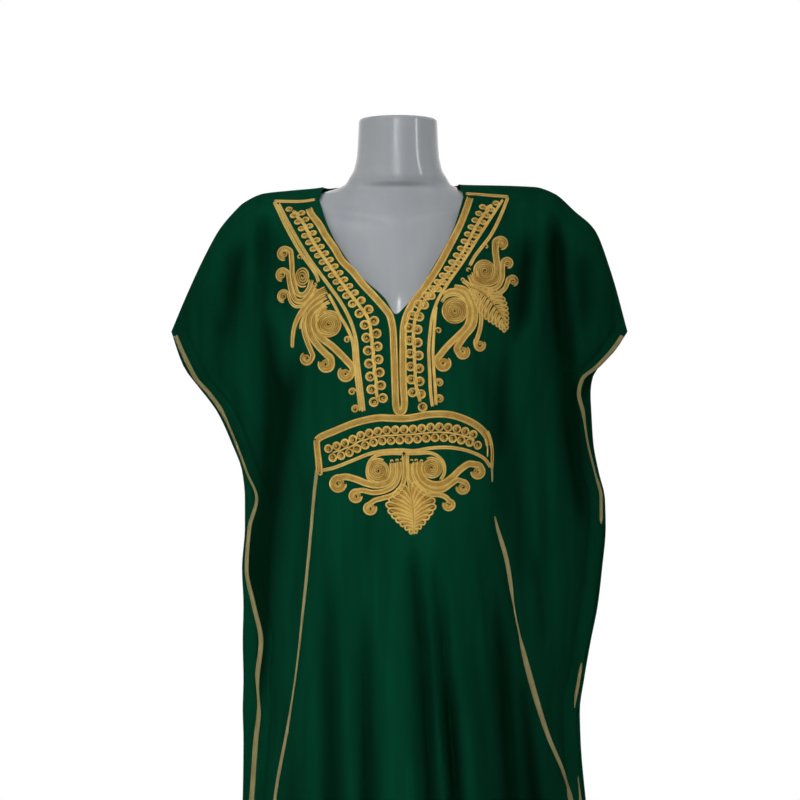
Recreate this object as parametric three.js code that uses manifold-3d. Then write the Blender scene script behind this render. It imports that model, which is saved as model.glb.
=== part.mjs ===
import * as THREE from "three";
import Module from "manifold-3d";

// A long kandura whose cap sleeves are cut in one with its front and back, dressed on a limbless
// display form that stands on a pole and a round base. Millimetres, +Z up, the front faces -Y,
// and the origin is on the floor under the middle of the base. "Left" is the side of -X.

const wasm = await Module();
wasm.setup();

// ---------------------------------------------------------------- driving sizes

const HEM_Z = 46; // height of the level hem above the floor
const TIP_Z = 1246; // height of the outer corner of each sleeve
const CLOTH = 1.4; // thickness of the cloth wall
const SEAM_GAP = 0.6; // front and back stand this far apart along the side seams
const FLAP = 20; // flat margin outside each side seam
const SEAM_DROP = 20; // the shoulder seam runs this far below the crest, on the front
const BUTT = 0.35; // half of the gap in the shoulder seam, measured down the cloth
const BRAID_WIDTH = 7; // flat gold braid on the edges and down the skirt
const BRAID_HEIGHT = 1.5;
const BRAID_INSET = 1.2; // cloth that shows outside an edge braid
const LIFT = 0.6; // gold work stands this far off the facets that it lies on
const CORD_HEIGHT = 2; // height of the couched gold cords

const GREEN = 0x0a4a2c;
const GOLD = 0xc39a50;
const GREY = 0x9aa0a6;
const STEEL = 0xb4b6b8;

// The crest is the fold of the cloth from sleeve corner to sleeve corner, seen from the front.
// Over the neck it only guides the back neckline.
const CREST = [
  { x: -315, z: 1246 },
  { x: -294, z: 1296 },
  { x: -267, z: 1354 },
  { x: -248, z: 1388 },
  { x: -230, z: 1410 },
  { x: -213, z: 1426 },
  { x: -186, z: 1438 },
  { x: -150, z: 1442 },
  { x: -108, z: 1446 },
  { x: -90, z: 1451 },
  { x: -40, z: 1472 },
  { x: 0, z: 1480 },
  { x: 40, z: 1471 },
  { x: 75, z: 1454 },
  { x: 90, z: 1450 },
  { x: 141, z: 1449 },
  { x: 190, z: 1447 },
  { x: 217, z: 1438 },
  { x: 246, z: 1413 },
  { x: 273, z: 1388 },
  { x: 297, z: 1326 },
  { x: 319, z: 1246 },
];

// The side edges of both panels from the sleeve corner to the hem, and half the depth of the
// open sleeve mouth between them.
const EDGES = [
  { z: 1246, frontLeft: -315, frontRight: 319, backLeft: -315, backRight: 319, open: 0 },
  { z: 1220, frontLeft: -303, frontRight: 300, backLeft: -308, backRight: 303, open: 14 },
  { z: 1196, frontLeft: -291, frontRight: 277, backLeft: -299, backRight: 280, open: 22 },
  { z: 1180, frontLeft: -282, frontRight: 258, backLeft: -288, backRight: 272, open: 26 },
  { z: 1160, frontLeft: -264, frontRight: 253, backLeft: -272, backRight: 270, open: 28 },
  { z: 1134, frontLeft: -246, frontRight: 259, backLeft: -253, backRight: 271, open: 26 },
  { z: 1092, frontLeft: -228, frontRight: 266, backLeft: -233, backRight: 273, open: 18 },
  { z: 1050, frontLeft: -213, frontRight: 277, backLeft: -217, backRight: 280, open: 8 },
  { z: 1014, frontLeft: -200, frontRight: 286, backLeft: -213, backRight: 288, open: 0 },
  { z: 974, frontLeft: -210, frontRight: 286, backLeft: -213, backRight: 289, open: 0 },
  { z: 917, frontLeft: -214, frontRight: 280, backLeft: -217, backRight: 284, open: 0 },
  { z: 866, frontLeft: -204, frontRight: 274, backLeft: -215, backRight: 278, open: 0 },
  { z: 815, frontLeft: -194, frontRight: 264, backLeft: -216, backRight: 268, open: 0 },
  { z: 763, frontLeft: -199, frontRight: 255, backLeft: -215, backRight: 259, open: 0 },
  { z: 719, frontLeft: -197, frontRight: 249, backLeft: -216, backRight: 253, open: 0 },
  { z: 680, frontLeft: -201, frontRight: 250, backLeft: -215, backRight: 254, open: 0 },
  { z: 598, frontLeft: -207, frontRight: 257, backLeft: -216, backRight: 261, open: 0 },
  { z: 420, frontLeft: -226, frontRight: 280, backLeft: -231, backRight: 285, open: 0 },
  { z: 240, frontLeft: -246, frontRight: 298, backLeft: -251, backRight: 303, open: 0 },
  { z: 46, frontLeft: -263, frontRight: 312, backLeft: -268, backRight: 317, open: 0 },
];

// How far the cloth stands off the side plane: over the body, with the width of that bulge, and
// in the hollow wings at the sides.
const STANDOFF = [
  { z: 1480, frontBody: 84, backBody: 72, bodyWidth: 172, frontWing: 42, backWing: 40 },
  { z: 1320, frontBody: 86, backBody: 76, bodyWidth: 168, frontWing: 42, backWing: 40 },
  { z: 1210, frontBody: 92, backBody: 70, bodyWidth: 164, frontWing: 40, backWing: 40 },
  { z: 1100, frontBody: 86, backBody: 64, bodyWidth: 160, frontWing: 40, backWing: 40 },
  { z: 1000, frontBody: 80, backBody: 62, bodyWidth: 160, frontWing: 42, backWing: 42 },
  { z: 800, frontBody: 76, backBody: 66, bodyWidth: 166, frontWing: 48, backWing: 48 },
  { z: 420, frontBody: 82, backBody: 76, bodyWidth: 190, frontWing: 60, backWing: 58 },
  { z: 46, frontBody: 88, backBody: 84, bodyWidth: 215, frontWing: 74, backWing: 70 },
];

// The front neckline, a V between the two neck points, read from left to right.
const NECK = [
  { x: -108, z: 1425.6 },
  { x: -97, z: 1392 },
  { x: -82, z: 1361 },
  { x: -49, z: 1316 },
  { x: -17, z: 1286 },
  { x: -3, z: 1265.5 },
  { x: 10, z: 1276 },
  { x: 29, z: 1299 },
  { x: 46, z: 1327 },
  { x: 75, z: 1382 },
  { x: 90, z: 1429.6 },
];
const NECK_LEFT = NECK[0].x;
const NECK_BOTTOM = NECK[5].x;
const NECK_RIGHT = NECK[NECK.length - 1].x;

// How far behind the crest the back neckline lies. Below zero it is on the front of the crest,
// where it meets the shoulder seam.
const BACK_NECK = [
  { x: -108, behind: -SEAM_DROP + BUTT },
  { x: -105, behind: -8 },
  { x: -102, behind: 0.5 },
  { x: -82, behind: 5 },
  { x: -40, behind: 19 },
  { x: 0, behind: 26 },
  { x: 36, behind: 19 },
  { x: 68, behind: 5 },
  { x: 84, behind: 0.5 },
  { x: 87, behind: -8 },
  { x: 90, behind: -SEAM_DROP + BUTT },
];

// Soft troughs in the front, each an arc from one end to the other. Bow is how far the arc swings
// to its own left, depth is negative on a ridge, and the two widths shape its sides.
const FRONT_FOLDS = [
  { x: -128, z: 1240, toX: -192, toZ: 640, bow: -21, depth: 24, left: 30, right: 14, fadeIn: 0.16, fadeOut: 0.3 },
  { x: -176, z: 1415, toX: -150, toZ: 1245, bow: -6, depth: 11, left: 16, right: 15, fadeIn: 0.3, fadeOut: 0.3 },
  { x: -193, z: 1290, toX: -166, toZ: 1050, bow: 0, depth: 10, left: 15, right: 13, fadeIn: 0.3, fadeOut: 0.3 },
  { x: -229, z: 1385, toX: -243, toZ: 1225, bow: 0, depth: 10, left: 16, right: 16, fadeIn: 0.3, fadeOut: 0.3 },
  { x: -280, z: 1172, toX: -206, toZ: 1100, bow: 20, depth: -9, left: 14, right: 14, fadeIn: 0.3, fadeOut: 0.3 },
  { x: -206, z: 938, toX: -176, toZ: 941, bow: 0, depth: 9, left: 14, right: 14, fadeIn: 0.4, fadeOut: 0.4 },
  { x: -104, z: 990, toX: -82, toZ: 46, bow: 10, depth: 11, left: 17, right: 17, fadeIn: 0.3, fadeOut: 0 },
  { x: -66, z: 990, toX: 2, toZ: 46, bow: 0, depth: 12, left: 16, right: 16, fadeIn: 0.3, fadeOut: 0 },
  { x: 20, z: 985, toX: 70, toZ: 46, bow: 0, depth: 14, left: 15, right: 15, fadeIn: 0.2, fadeOut: 0 },
  { x: 42, z: 995, toX: 138, toZ: 46, bow: 0, depth: 12, left: 15, right: 15, fadeIn: 0.35, fadeOut: 0 },
  { x: 74, z: 1015, toX: 192, toZ: 46, bow: 5, depth: 11, left: 16, right: 16, fadeIn: 0.3, fadeOut: 0 },
  { x: 104, z: 1240, toX: 150, toZ: 930, bow: 12, depth: 10, left: 13, right: 15, fadeIn: 0.3, fadeOut: 0.3 },
  { x: 136, z: 960, toX: 228, toZ: 46, bow: -14, depth: 17, left: 18, right: 18, fadeIn: 0.3, fadeOut: 0 },
  { x: 137, z: 1215, toX: 177, toZ: 860, bow: 8, depth: 10, left: 14, right: 15, fadeIn: 0.3, fadeOut: 0.3 },
  { x: 184, z: 1400, toX: 160, toZ: 1225, bow: 0, depth: 13, left: 12, right: 18, fadeIn: 0.3, fadeOut: 0.3 },
  { x: 217, z: 1412, toX: 262, toZ: 940, bow: -8, depth: 22, left: 18, right: 16, fadeIn: 0.15, fadeOut: 0.3 },
  { x: 262, z: 1368, toX: 268, toZ: 1255, bow: 0, depth: 8, left: 14, right: 14, fadeIn: 0.3, fadeOut: 0.3 },
  { x: 172, z: 810, toX: 264, toZ: 46, bow: -10, depth: 15, left: 15, right: 15, fadeIn: 0.3, fadeOut: 0 },
  { x: -142, z: 760, toX: -150, toZ: 46, bow: 0, depth: 15, left: 17, right: 17, fadeIn: 0.3, fadeOut: 0 },
  { x: -196, z: 640, toX: -212, toZ: 46, bow: 0, depth: 13, left: 16, right: 16, fadeIn: 0.3, fadeOut: 0 },
];

const BACK_FOLDS = [
  { x: -176, z: 1400, toX: -172, toZ: 700, bow: -8, depth: 20, left: 17, right: 20, fadeIn: 0.15, fadeOut: 0.3 },
  { x: -226, z: 1370, toX: -206, toZ: 1030, bow: 6, depth: 12, left: 16, right: 16, fadeIn: 0.3, fadeOut: 0.3 },
  { x: -128, z: 1240, toX: -196, toZ: 46, bow: 0, depth: 17, left: 18, right: 16, fadeIn: 0.25, fadeOut: 0 },
  { x: -86, z: 1150, toX: -118, toZ: 46, bow: 4, depth: 13, left: 17, right: 15, fadeIn: 0.3, fadeOut: 0 },
  { x: -40, z: 1120, toX: -44, toZ: 46, bow: 0, depth: 15, left: 16, right: 18, fadeIn: 0.3, fadeOut: 0 },
  { x: 10, z: 1180, toX: 26, toZ: 46, bow: -4, depth: 13, left: 16, right: 16, fadeIn: 0.3, fadeOut: 0 },
  { x: 62, z: 1120, toX: 92, toZ: 46, bow: 0, depth: 15, left: 17, right: 15, fadeIn: 0.3, fadeOut: 0 },
  { x: 108, z: 1210, toX: 158, toZ: 46, bow: 6, depth: 14, left: 16, right: 18, fadeIn: 0.25, fadeOut: 0 },
  { x: 170, z: 1390, toX: 186, toZ: 760, bow: 8, depth: 18, left: 18, right: 16, fadeIn: 0.15, fadeOut: 0.3 },
  { x: 226, z: 1370, toX: 240, toZ: 980, bow: -6, depth: 13, left: 16, right: 16, fadeIn: 0.25, fadeOut: 0.3 },
  { x: 200, z: 900, toX: 232, toZ: 46, bow: 0, depth: 17, left: 17, right: 17, fadeIn: 0.3, fadeOut: 0 },
];

// The display form, a row for each level: half its width, how far it reaches to the front and to
// the back, and how square its outline is (2 is an ellipse).
const FORM = [
  { z: 1541, width: 50, front: 50, back: 50, square: 2 },
  { z: 1537.5, width: 54.5, front: 54.5, back: 54.5, square: 2 },
  { z: 1516, width: 55.5, front: 56, back: 55, square: 2 },
  { z: 1492, width: 57, front: 57, back: 56, square: 2 },
  { z: 1472, width: 61, front: 58, back: 58, square: 2 },
  { z: 1459, width: 68, front: 59, back: 61, square: 1.9 },
  { z: 1450, width: 74, front: 57, back: 57, square: 1.75 },
  { z: 1442, width: 94, front: 51, back: 52, square: 1.6 },
  { z: 1434, width: 132, front: 54, back: 58, square: 1.5 },
  { z: 1422, width: 165, front: 59, back: 66, square: 1.6 },
  { z: 1405, width: 184, front: 66, back: 74, square: 1.7 },
  { z: 1380, width: 190, front: 75, back: 81, square: 1.8 },
  { z: 1350, width: 186, front: 84, back: 88, square: 1.9 },
  { z: 1310, width: 176, front: 95, back: 93, square: 2 },
  { z: 1265, width: 162, front: 106, back: 92, square: 2.1 },
  { z: 1215, width: 153, front: 114, back: 88, square: 2.2 },
  { z: 1165, width: 145, front: 108, back: 82, square: 2.2 },
  { z: 1110, width: 136, front: 96, back: 77, square: 2.2 },
  { z: 1045, width: 130, front: 89, back: 76, square: 2.2 },
  { z: 975, width: 138, front: 88, back: 80, square: 2.2 },
  { z: 905, width: 150, front: 88, back: 86, square: 2.2 },
  { z: 850, width: 154, front: 86, back: 88, square: 2.2 },
  { z: 836, width: 148, front: 81, back: 83, square: 2.2 },
  { z: 830, width: 136, front: 72, back: 74, square: 2.2 },
];
const FORM_BOTTOM_Z = FORM[FORM.length - 1].z;
const POLE_RADIUS = 12.5;
const BASE_RADIUS = 170;
const BASE_HEIGHT = 12;
const FIT_GAP = 0.3; // between the base, the pole and the form

// ---------------------------------------------------------------- small tools

const clamp = (v, low, high) => Math.min(high, Math.max(low, v));
const mix = (a, b, t) => a + (b - a) * t;
const ease = (t) => {
  const c = clamp(t, 0, 1);
  return c * c * (3 - 2 * c);
};

// Even steps from a to b, without b itself.
const steps = (a, b, count) => Array.from({ length: count }, (_, k) => mix(a, b, k / count));

// A smooth curve through one named column of a table, read along another. Its slopes are
// limited, so it never swings past the values that it passes through.
function curveOf(table, along, column) {
  const rows = [...table].sort((p, q) => p[along] - q[along]);
  const at = rows.map((row) => row[along]);
  const value = rows.map((row) => row[column]);
  const rise = at.slice(1).map((a, k) => (value[k + 1] - value[k]) / (a - at[k]));
  const slope = at.map((_, k) => {
    const before = rise[k - 1] ?? rise[k];
    const after = rise[k] ?? rise[k - 1];
    return before * after <= 0 ? 0 : (2 * before * after) / (before + after);
  });
  return (where) => {
    const a = clamp(where, at[0], at[at.length - 1]);
    let k = 0;
    while (k < at.length - 2 && a > at[k + 1]) k += 1;
    const span = at[k + 1] - at[k];
    const t = (a - at[k]) / span;
    const bend = span * t * (1 - t);
    const ends = mix(value[k], value[k + 1], t * t * (3 - 2 * t));
    return ends + bend * (slope[k] * (1 - t) - slope[k + 1] * t);
  };
}

const crestZ = curveOf(CREST, "x", "z");
const mouthOpen = curveOf(EDGES, "z", "open");
const bodyWidth = curveOf(STANDOFF, "z", "bodyWidth");
const neckZ = curveOf(NECK, "x", "z");
const backNeck = curveOf(BACK_NECK, "x", "behind");

const FRONT = {
  side: -1,
  leftEdge: curveOf(EDGES, "z", "frontLeft"),
  rightEdge: curveOf(EDGES, "z", "frontRight"),
  body: curveOf(STANDOFF, "z", "frontBody"),
  wing: curveOf(STANDOFF, "z", "frontWing"),
  slopeDrop: 250, // the chest falls away from the crest over this height
  folds: FRONT_FOLDS,
};
const BACK = {
  side: 1,
  leftEdge: curveOf(EDGES, "z", "backLeft"),
  rightEdge: curveOf(EDGES, "z", "backRight"),
  body: curveOf(STANDOFF, "z", "backBody"),
  wing: curveOf(STANDOFF, "z", "backWing"),
  slopeDrop: 130,
  folds: BACK_FOLDS,
};

// ---------------------------------------------------------------- the draped cloth

// How deep the folds are at a point: each is an arc with a rounded, lopsided section.
function foldDepth(folds, x, z) {
  return folds.reduce((sum, fold) => {
    const chordX = fold.toX - fold.x;
    const chordZ = fold.toZ - fold.z;
    const length = Math.hypot(chordX, chordZ);
    const along = ((x - fold.x) * chordX + (z - fold.z) * chordZ) / length ** 2;
    if (along <= 0 || (along >= 1 && fold.fadeOut > 0)) return sum;
    const t = clamp(along, 0, 1);
    const aside = ((z - fold.z) * chordX - (x - fold.x) * chordZ) / length;
    const across = aside - fold.bow * 4 * t * (1 - t);
    const width = across < 0 ? fold.left : fold.right;
    const fade = ease(t / fold.fadeIn) * (fold.fadeOut > 0 ? ease((1 - t) / fold.fadeOut) : 1);
    return sum + fold.depth * fade * Math.exp(-((across / width) ** 2));
  }, 0);
}

// A point of the cloth's outer face. Off the side plane it stands out over the body and in the
// wings, it closes up towards the crest like a rounded fold, and the folds are taken off that.
function clothPoint(panel, x, z) {
  const left = panel.leftEdge(z);
  const right = panel.rightEdge(z);
  const reach = (right - left) / 2;
  const fromMiddle = Math.abs(x - (left + right) / 2);
  const u = clamp(fromMiddle / (reach - FLAP), 0, 1);
  const wingShape = (1 - u ** 3) ** 0.6;
  const bodyShape = Math.exp(-(Math.abs(x / bodyWidth(z)) ** 3.2)) * (1 - u ** 10);
  const drop = mix(panel.slopeDrop, 60, ease((Math.abs(x) - 150) / 130));
  const below = clamp((crestZ(x) - z) / drop, 0, 1);
  const cap = (1 - (1 - below) ** 2) ** 0.55;
  const plain = (panel.body(z) * bodyShape + panel.wing(z) * wingShape) * cap;
  const loose = ease((crestZ(x) - z) / 70) * wingShape;
  const folded = plain - foldDepth(panel.folds, x, z) * loose;
  const least = 7 * wingShape * cap;
  const standoff = (folded + Math.sqrt(folded ** 2 + least ** 2)) / 2;
  const mouth = mouthOpen(z) * clamp(fromMiddle / reach, 0, 1) ** 5;
  const y = panel.side * (CLOTH + SEAM_GAP / 2 + standoff + mouth);
  return new THREE.Vector3(x, y, z);
}

// A point of the outer face with its outward normal, taken over a few millimetres of cloth.
function onCloth(panel, x, z) {
  const NEAR = 5;
  const point = clothPoint(panel, x, z);
  const above = Math.min(z + NEAR, crestZ(x) - 0.01);
  const acrossY = clothPoint(panel, x + NEAR, z).y - clothPoint(panel, x - NEAR, z).y;
  const slopeX = acrossY / (2 * NEAR);
  const slopeZ = (clothPoint(panel, x, above).y - clothPoint(panel, x, z - NEAR).y) / (above - z + NEAR);
  const normal = new THREE.Vector3(slopeX, -1, slopeZ).multiplyScalar(-panel.side).normalize();
  return { point, normal };
}

// The x of a column at a height: columns keep their share of the width between the two edges.
const columnX = (panel, share, z) => mix(panel.leftEdge(z), panel.rightEdge(z), share);
const shareOf = (x) => (x - EDGES[0].frontLeft) / (EDGES[0].frontRight - EDGES[0].frontLeft);

// Half of the seam's gap as a vertical drop, so that it is even on the steep parts of the crest.
const buttDrop = (x) => BUTT * Math.hypot(1, (crestZ(x + 3) - crestZ(x - 3)) / 6);

// The height at which a column crosses a line that lies a given drop below the crest.
function crossing(panel, share, drop) {
  let low = TIP_Z - 60;
  let high = 1500;
  for (let k = 0; k < 40; k += 1) {
    const z = (low + high) / 2;
    if (z < crestZ(columnX(panel, share, z)) - drop) low = z;
    else high = z;
  }
  return low;
}

// How far down the cloth each row lies, as a share of the column's length: close together over
// the shoulders and the gold work, wider apart down the skirt.
const ROW_DROPS = [
  ...[0, 9, 20, 35, 54, 78],
  ...steps(104, 416, 10),
  ...steps(416, 1000, 8),
  ...steps(1000, 1380, 4),
  1380,
];
const rowShares = ROW_DROPS.map((drop) => drop / 1380);

const COLUMNS = {
  leftSleeve: steps(EDGES[0].frontLeft, NECK_LEFT, 12),
  neck: [-108, -103, -98, -91, -82, -70, -53, -35, -17, NECK_BOTTOM, 10, 29, 48, 64, 75, 82, 86.5],
  rightSleeve: [...steps(NECK_RIGHT, EDGES[0].frontRight, 12), EDGES[0].frontRight],
};

// The front, row by row from the shoulder seam or the neckline down to the hem.
function frontGrid() {
  const tops = [...COLUMNS.leftSleeve, ...COLUMNS.neck, ...COLUMNS.rightSleeve];
  return tops.map((x) => {
    const share = shareOf(x);
    const inNeck = x > NECK_LEFT && x < NECK_RIGHT;
    const top = inNeck ? neckZ(x) : crossing(FRONT, share, SEAM_DROP + buttDrop(x));
    return rowShares.map((down) => {
      const z = mix(top, HEM_Z, down);
      return onCloth(FRONT, columnX(FRONT, share, z), z);
    });
  });
}

// The back runs over the crest to the shoulder seam, and stops at its own neckline between the
// neck points. Its columns go from right to left, so that it faces outwards.
function backGrid() {
  const tops = [
    ...COLUMNS.leftSleeve,
    ...BACK_NECK.slice(0, 2).map((row) => row.x),
    ...steps(BACK_NECK[2].x, 0, 5),
    ...steps(0, BACK_NECK[8].x, 5),
    ...BACK_NECK.slice(8, 10).map((row) => row.x),
    ...COLUMNS.rightSleeve,
  ];
  const OVER = [1, 0.45, 0]; // rows on the front of the crest, as shares of the way to the seam
  return tops.reverse().map((x) => {
    const share = shareOf(x);
    const inNeck = x > NECK_LEFT && x < NECK_RIGHT;
    const behind = inNeck ? backNeck(x) : -SEAM_DROP + buttDrop(x);
    const reach = Math.max(-behind, 0);
    const over = OVER.map((part) => {
      if (behind > 0) {
        const z = crossing(BACK, share, behind) - 2.5 * (1 - part);
        return onCloth(BACK, columnX(BACK, share, z), z);
      }
      const z = crossing(FRONT, share, Math.max(reach * part, 0.02));
      return onCloth(FRONT, columnX(FRONT, share, z), z);
    });
    const top = crossing(BACK, share, Math.max(behind, 0)) - (behind > 0 ? 5 : 0.02);
    const down = rowShares.filter((_, k) => k < 6 || k % 2 === 0 || k === rowShares.length - 1);
    const rest = down.map((part) => {
      const z = mix(top, HEM_Z, part);
      return onCloth(BACK, columnX(BACK, share, z), z);
    });
    return [...over, ...rest];
  });
}

// ---------------------------------------------------------------- solids from points

// A closed mesh from rings of points, each ring closed on itself, with a flat lid at both ends.
// Rings turn anticlockwise when seen from the last ring towards the first.
function ringSolid(rings) {
  const sides = rings[0].length;
  const points = rings.flat();
  const index = [];
  for (let r = 0; r < rings.length - 1; r += 1) {
    for (let s = 0; s < sides; s += 1) {
      const a = r * sides + s;
      const b = r * sides + ((s + 1) % sides);
      index.push(a, b, a + sides, b, b + sides, a + sides);
    }
  }
  const lastRing = (rings.length - 1) * sides;
  for (let s = 1; s < sides - 1; s += 1) {
    index.push(0, s + 1, s, lastRing, lastRing + s, lastRing + s + 1);
  }
  return meshOf(points, index);
}

function meshOf(points, index) {
  const geometry = new THREE.BufferGeometry();
  geometry.setAttribute("position", new THREE.Float32BufferAttribute(points.flatMap((p) => p.toArray()), 3));
  geometry.setIndex(index);
  geometry.computeVertexNormals();
  return geometry;
}

// A wall of cloth: the grid is its outer face, and the inner face lies a thickness inside it.
function clothWall(grid, thickness) {
  const outer = grid.flat().map(({ point }) => point);
  const inner = grid.flat().map(({ point, normal }) => point.clone().addScaledVector(normal, -thickness));
  const [columns, rows] = [grid.length, grid[0].length];
  const points = [...outer, ...inner];
  const at = (i, j, face) => (face * columns + i) * rows + j;
  const index = [];
  const quad = (a, b, c, d) => index.push(a, b, c, b, d, c);
  for (let i = 0; i < columns - 1; i += 1) {
    for (let j = 0; j < rows - 1; j += 1) {
      quad(at(i, j, 0), at(i, j + 1, 0), at(i + 1, j, 0), at(i + 1, j + 1, 0));
      quad(at(i, j, 1), at(i + 1, j, 1), at(i, j + 1, 1), at(i + 1, j + 1, 1));
    }
    quad(at(i, 0, 0), at(i + 1, 0, 0), at(i, 0, 1), at(i + 1, 0, 1));
    quad(at(i, rows - 1, 0), at(i, rows - 1, 1), at(i + 1, rows - 1, 0), at(i + 1, rows - 1, 1));
  }
  for (let j = 0; j < rows - 1; j += 1) {
    quad(at(0, j, 1), at(0, j + 1, 1), at(0, j, 0), at(0, j + 1, 0));
    quad(at(columns - 1, j, 0), at(columns - 1, j + 1, 0), at(columns - 1, j, 1), at(columns - 1, j + 1, 1));
  }
  return meshOf(points, index);
}

// The row where each panel's wall is divided, under the sleeves, so that its long hollow has
// simple walls: the two lengths of cloth meet all along with a hair's gap.
const DIVIDING_ROWS = { front: 18, back: 15 };
const DIVIDE_GAP = 0.35;

function lengthsOf(grid, row) {
  const gap = (from, to) => DIVIDE_GAP / from.point.distanceTo(to.point);
  const below = (column) => ({
    point: column[row].point.clone().lerp(column[row + 1].point, gap(column[row], column[row + 1])),
    normal: column[row].normal,
  });
  return {
    upper: grid.map((column) => column.slice(0, row + 1)),
    lower: grid.map((column) => [below(column), ...column.slice(row + 1)]),
  };
}

// A length divided once more, down its middle column.
function halvesOf(grid) {
  const middle = Math.floor(grid.length / 2);
  const moved = grid[middle].map(({ point, normal }, row) => {
    const next = grid[middle + 1][row].point;
    return { point: point.clone().lerp(next, DIVIDE_GAP / point.distanceTo(next)), normal };
  });
  return { right: grid.slice(0, middle + 1), left: [moved, ...grid.slice(middle + 1)] };
}

// ---------------------------------------------------------------- gold work on the cloth

const PANELS = {
  front: { side: -1, grid: frontGrid() },
  back: { side: 1, grid: backGrid() },
};

// The point and normal of a panel's facets that lie at a place seen from its own side.
function onFacets(panel, x, z) {
  const { grid } = panel;
  let best = null;
  for (let i = 0; i < grid.length - 1; i += 1) {
    for (let j = 0; j < grid[0].length - 1; j += 1) {
      const nearZ = Math.abs(grid[i][j].point.z - z) < 180;
      const nearX = Math.abs(grid[i][j].point.x - x) < 40;
      if (!nearX || !nearZ) continue;
      const halves = [
        [grid[i][j], grid[i][j + 1], grid[i + 1][j]],
        [grid[i + 1][j + 1], grid[i + 1][j], grid[i][j + 1]],
      ];
      for (const [a, b, c] of halves) {
        const [abX, abZ] = [b.point.x - a.point.x, b.point.z - a.point.z];
        const [acX, acZ] = [c.point.x - a.point.x, c.point.z - a.point.z];
        const [toX, toZ] = [x - a.point.x, z - a.point.z];
        const area = abX * acZ - acX * abZ;
        const toB = (toX * acZ - acX * toZ) / area;
        const toC = (abX * toZ - toX * abZ) / area;
        const inside = Math.min(toB, toC, 1 - toB - toC);
        if (best === null || inside > best.inside) best = { inside, a, b, c, toB, toC };
      }
    }
  }
  const blend = (field) =>
    best.a[field]
      .clone()
      .multiplyScalar(1 - best.toB - best.toC)
      .addScaledVector(best.b[field], best.toB)
      .addScaledVector(best.c[field], best.toC);
  return { point: blend("point"), normal: blend("normal").normalize() };
}

function lifted(panel, x, z, lift) {
  const { point, normal } = onFacets(panel, x, z);
  return point.addScaledVector(normal, lift);
}

// How deep a straight strip between points would sink into the facets, at its worst.
function sinkOf(panel, points) {
  return points.reduce((worst, p) => {
    const { point, normal } = onFacets(panel, p.x, p.z);
    return Math.max(worst, panel.side * (point.y - p.y) * Math.abs(normal.y));
  }, 0);
}

// Points along a smooth line through a few places, with named x and z.
function smoothLine(places, count) {
  const line = new THREE.CatmullRomCurve3(
    places.map((p) => new THREE.Vector3(p.x, 0, p.z)),
    false,
    "centripetal",
  );
  return line.getSpacedPoints(count).map((p) => ({ x: p.x, z: p.z }));
}

// A raised ribbon along a line on a panel. Its width may change from station to station, and it
// is lifted where it bridges a bend of the cloth.
function ribbon(line, widthAt, height = CORD_HEIGHT, panel = PANELS.front) {
  const last = line.length - 1;
  const stations = line.map((p, k) => {
    const before = line[Math.max(k - 1, 0)];
    const after = line[Math.min(k + 1, last)];
    const length = Math.hypot(after.x - before.x, after.z - before.z);
    const [sideX, sideZ] = [(after.z - before.z) / length, -(after.x - before.x) / length];
    const half = (-panel.side * widthAt(k / last, k)) / 2;
    return (part, lift) => lifted(panel, p.x + sideX * half * part, p.z + sideZ * half * part, lift);
  });
  const sinks = stations.slice(1).map((station, k) => {
    const [a, b] = [stations[k](1, 0), stations[k](-1, 0)];
    const [c, d] = [station(1, 0), station(-1, 0)];
    const onHalves = (t, s) => {
      const [corner, u, v] = t + s <= 1 ? [a, b, c] : [d, c, b];
      const [toU, toV] = t + s <= 1 ? [s, t] : [1 - s, 1 - t];
      return corner.clone().addScaledVector(u.clone().sub(corner), toU).addScaledVector(v.clone().sub(corner), toV);
    };
    const inside = [0.1, 0.25, 0.4, 0.55, 0.7, 0.85];
    return sinkOf(panel, inside.flatMap((t) => [0, 0.25, 0.5, 0.75, 1].map((s) => onHalves(t, s))));
  });
  const rings = stations.map((at, k) => {
    const lift = LIFT + 1.3 * Math.max(sinks[k - 1] ?? 0, sinks[k] ?? 0);
    return [at(1, lift), at(-1, lift), at(-0.7, lift + height), at(0.7, lift + height)];
  });
  return ringSolid(rings);
}

// A low round boss, the outer form of a coiled cord.
function boss({ x, z, radius, height = CORD_HEIGHT, sides = 10 }) {
  const disc = (lift, edge) => {
    const ring = (r) =>
      Array.from({ length: sides }, (_, s) => {
        const turn = (2 * Math.PI * s) / sides;
        return lifted(PANELS.front, x + r * Math.cos(turn), z + r * Math.sin(turn), lift);
      });
    return [lifted(PANELS.front, x, z, lift), ...ring(radius * 0.5), ...ring(radius * edge)];
  };
  const flat = disc(0, 1);
  const halfway = (a, b) => flat[a].clone().lerp(flat[b], 0.5);
  const around = Array.from({ length: sides }, (_, s) => s);
  const between = around.flatMap((s) => {
    const next = (s + 1) % sides;
    const [inner, outer] = [1 + s, 1 + sides + s];
    const [innerNext, outerNext] = [1 + next, 1 + sides + next];
    return [halfway(0, inner), halfway(inner, outer), halfway(inner, innerNext), halfway(outer, outerNext)];
  });
  const lift = LIFT + sinkOf(PANELS.front, between);
  const points = [...disc(lift, 1), ...disc(lift + height, 0.8)];
  const top = 1 + 2 * sides;
  const index = around.flatMap((s) => {
    const next = (s + 1) % sides;
    const [inner, innerNext] = [1 + s, 1 + next];
    const [outer, outerNext] = [1 + sides + s, 1 + sides + next];
    return [
      ...[0, innerNext, inner, inner, innerNext, outer, innerNext, outerNext, outer],
      ...[top, top + inner, top + innerNext, top + inner, top + outer, top + innerNext],
      ...[top + innerNext, top + outer, top + outerNext],
      ...[outer, outerNext, top + outer, outerNext, top + outerNext, top + outer],
    ];
  });
  return meshOf(points, index);
}

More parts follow.
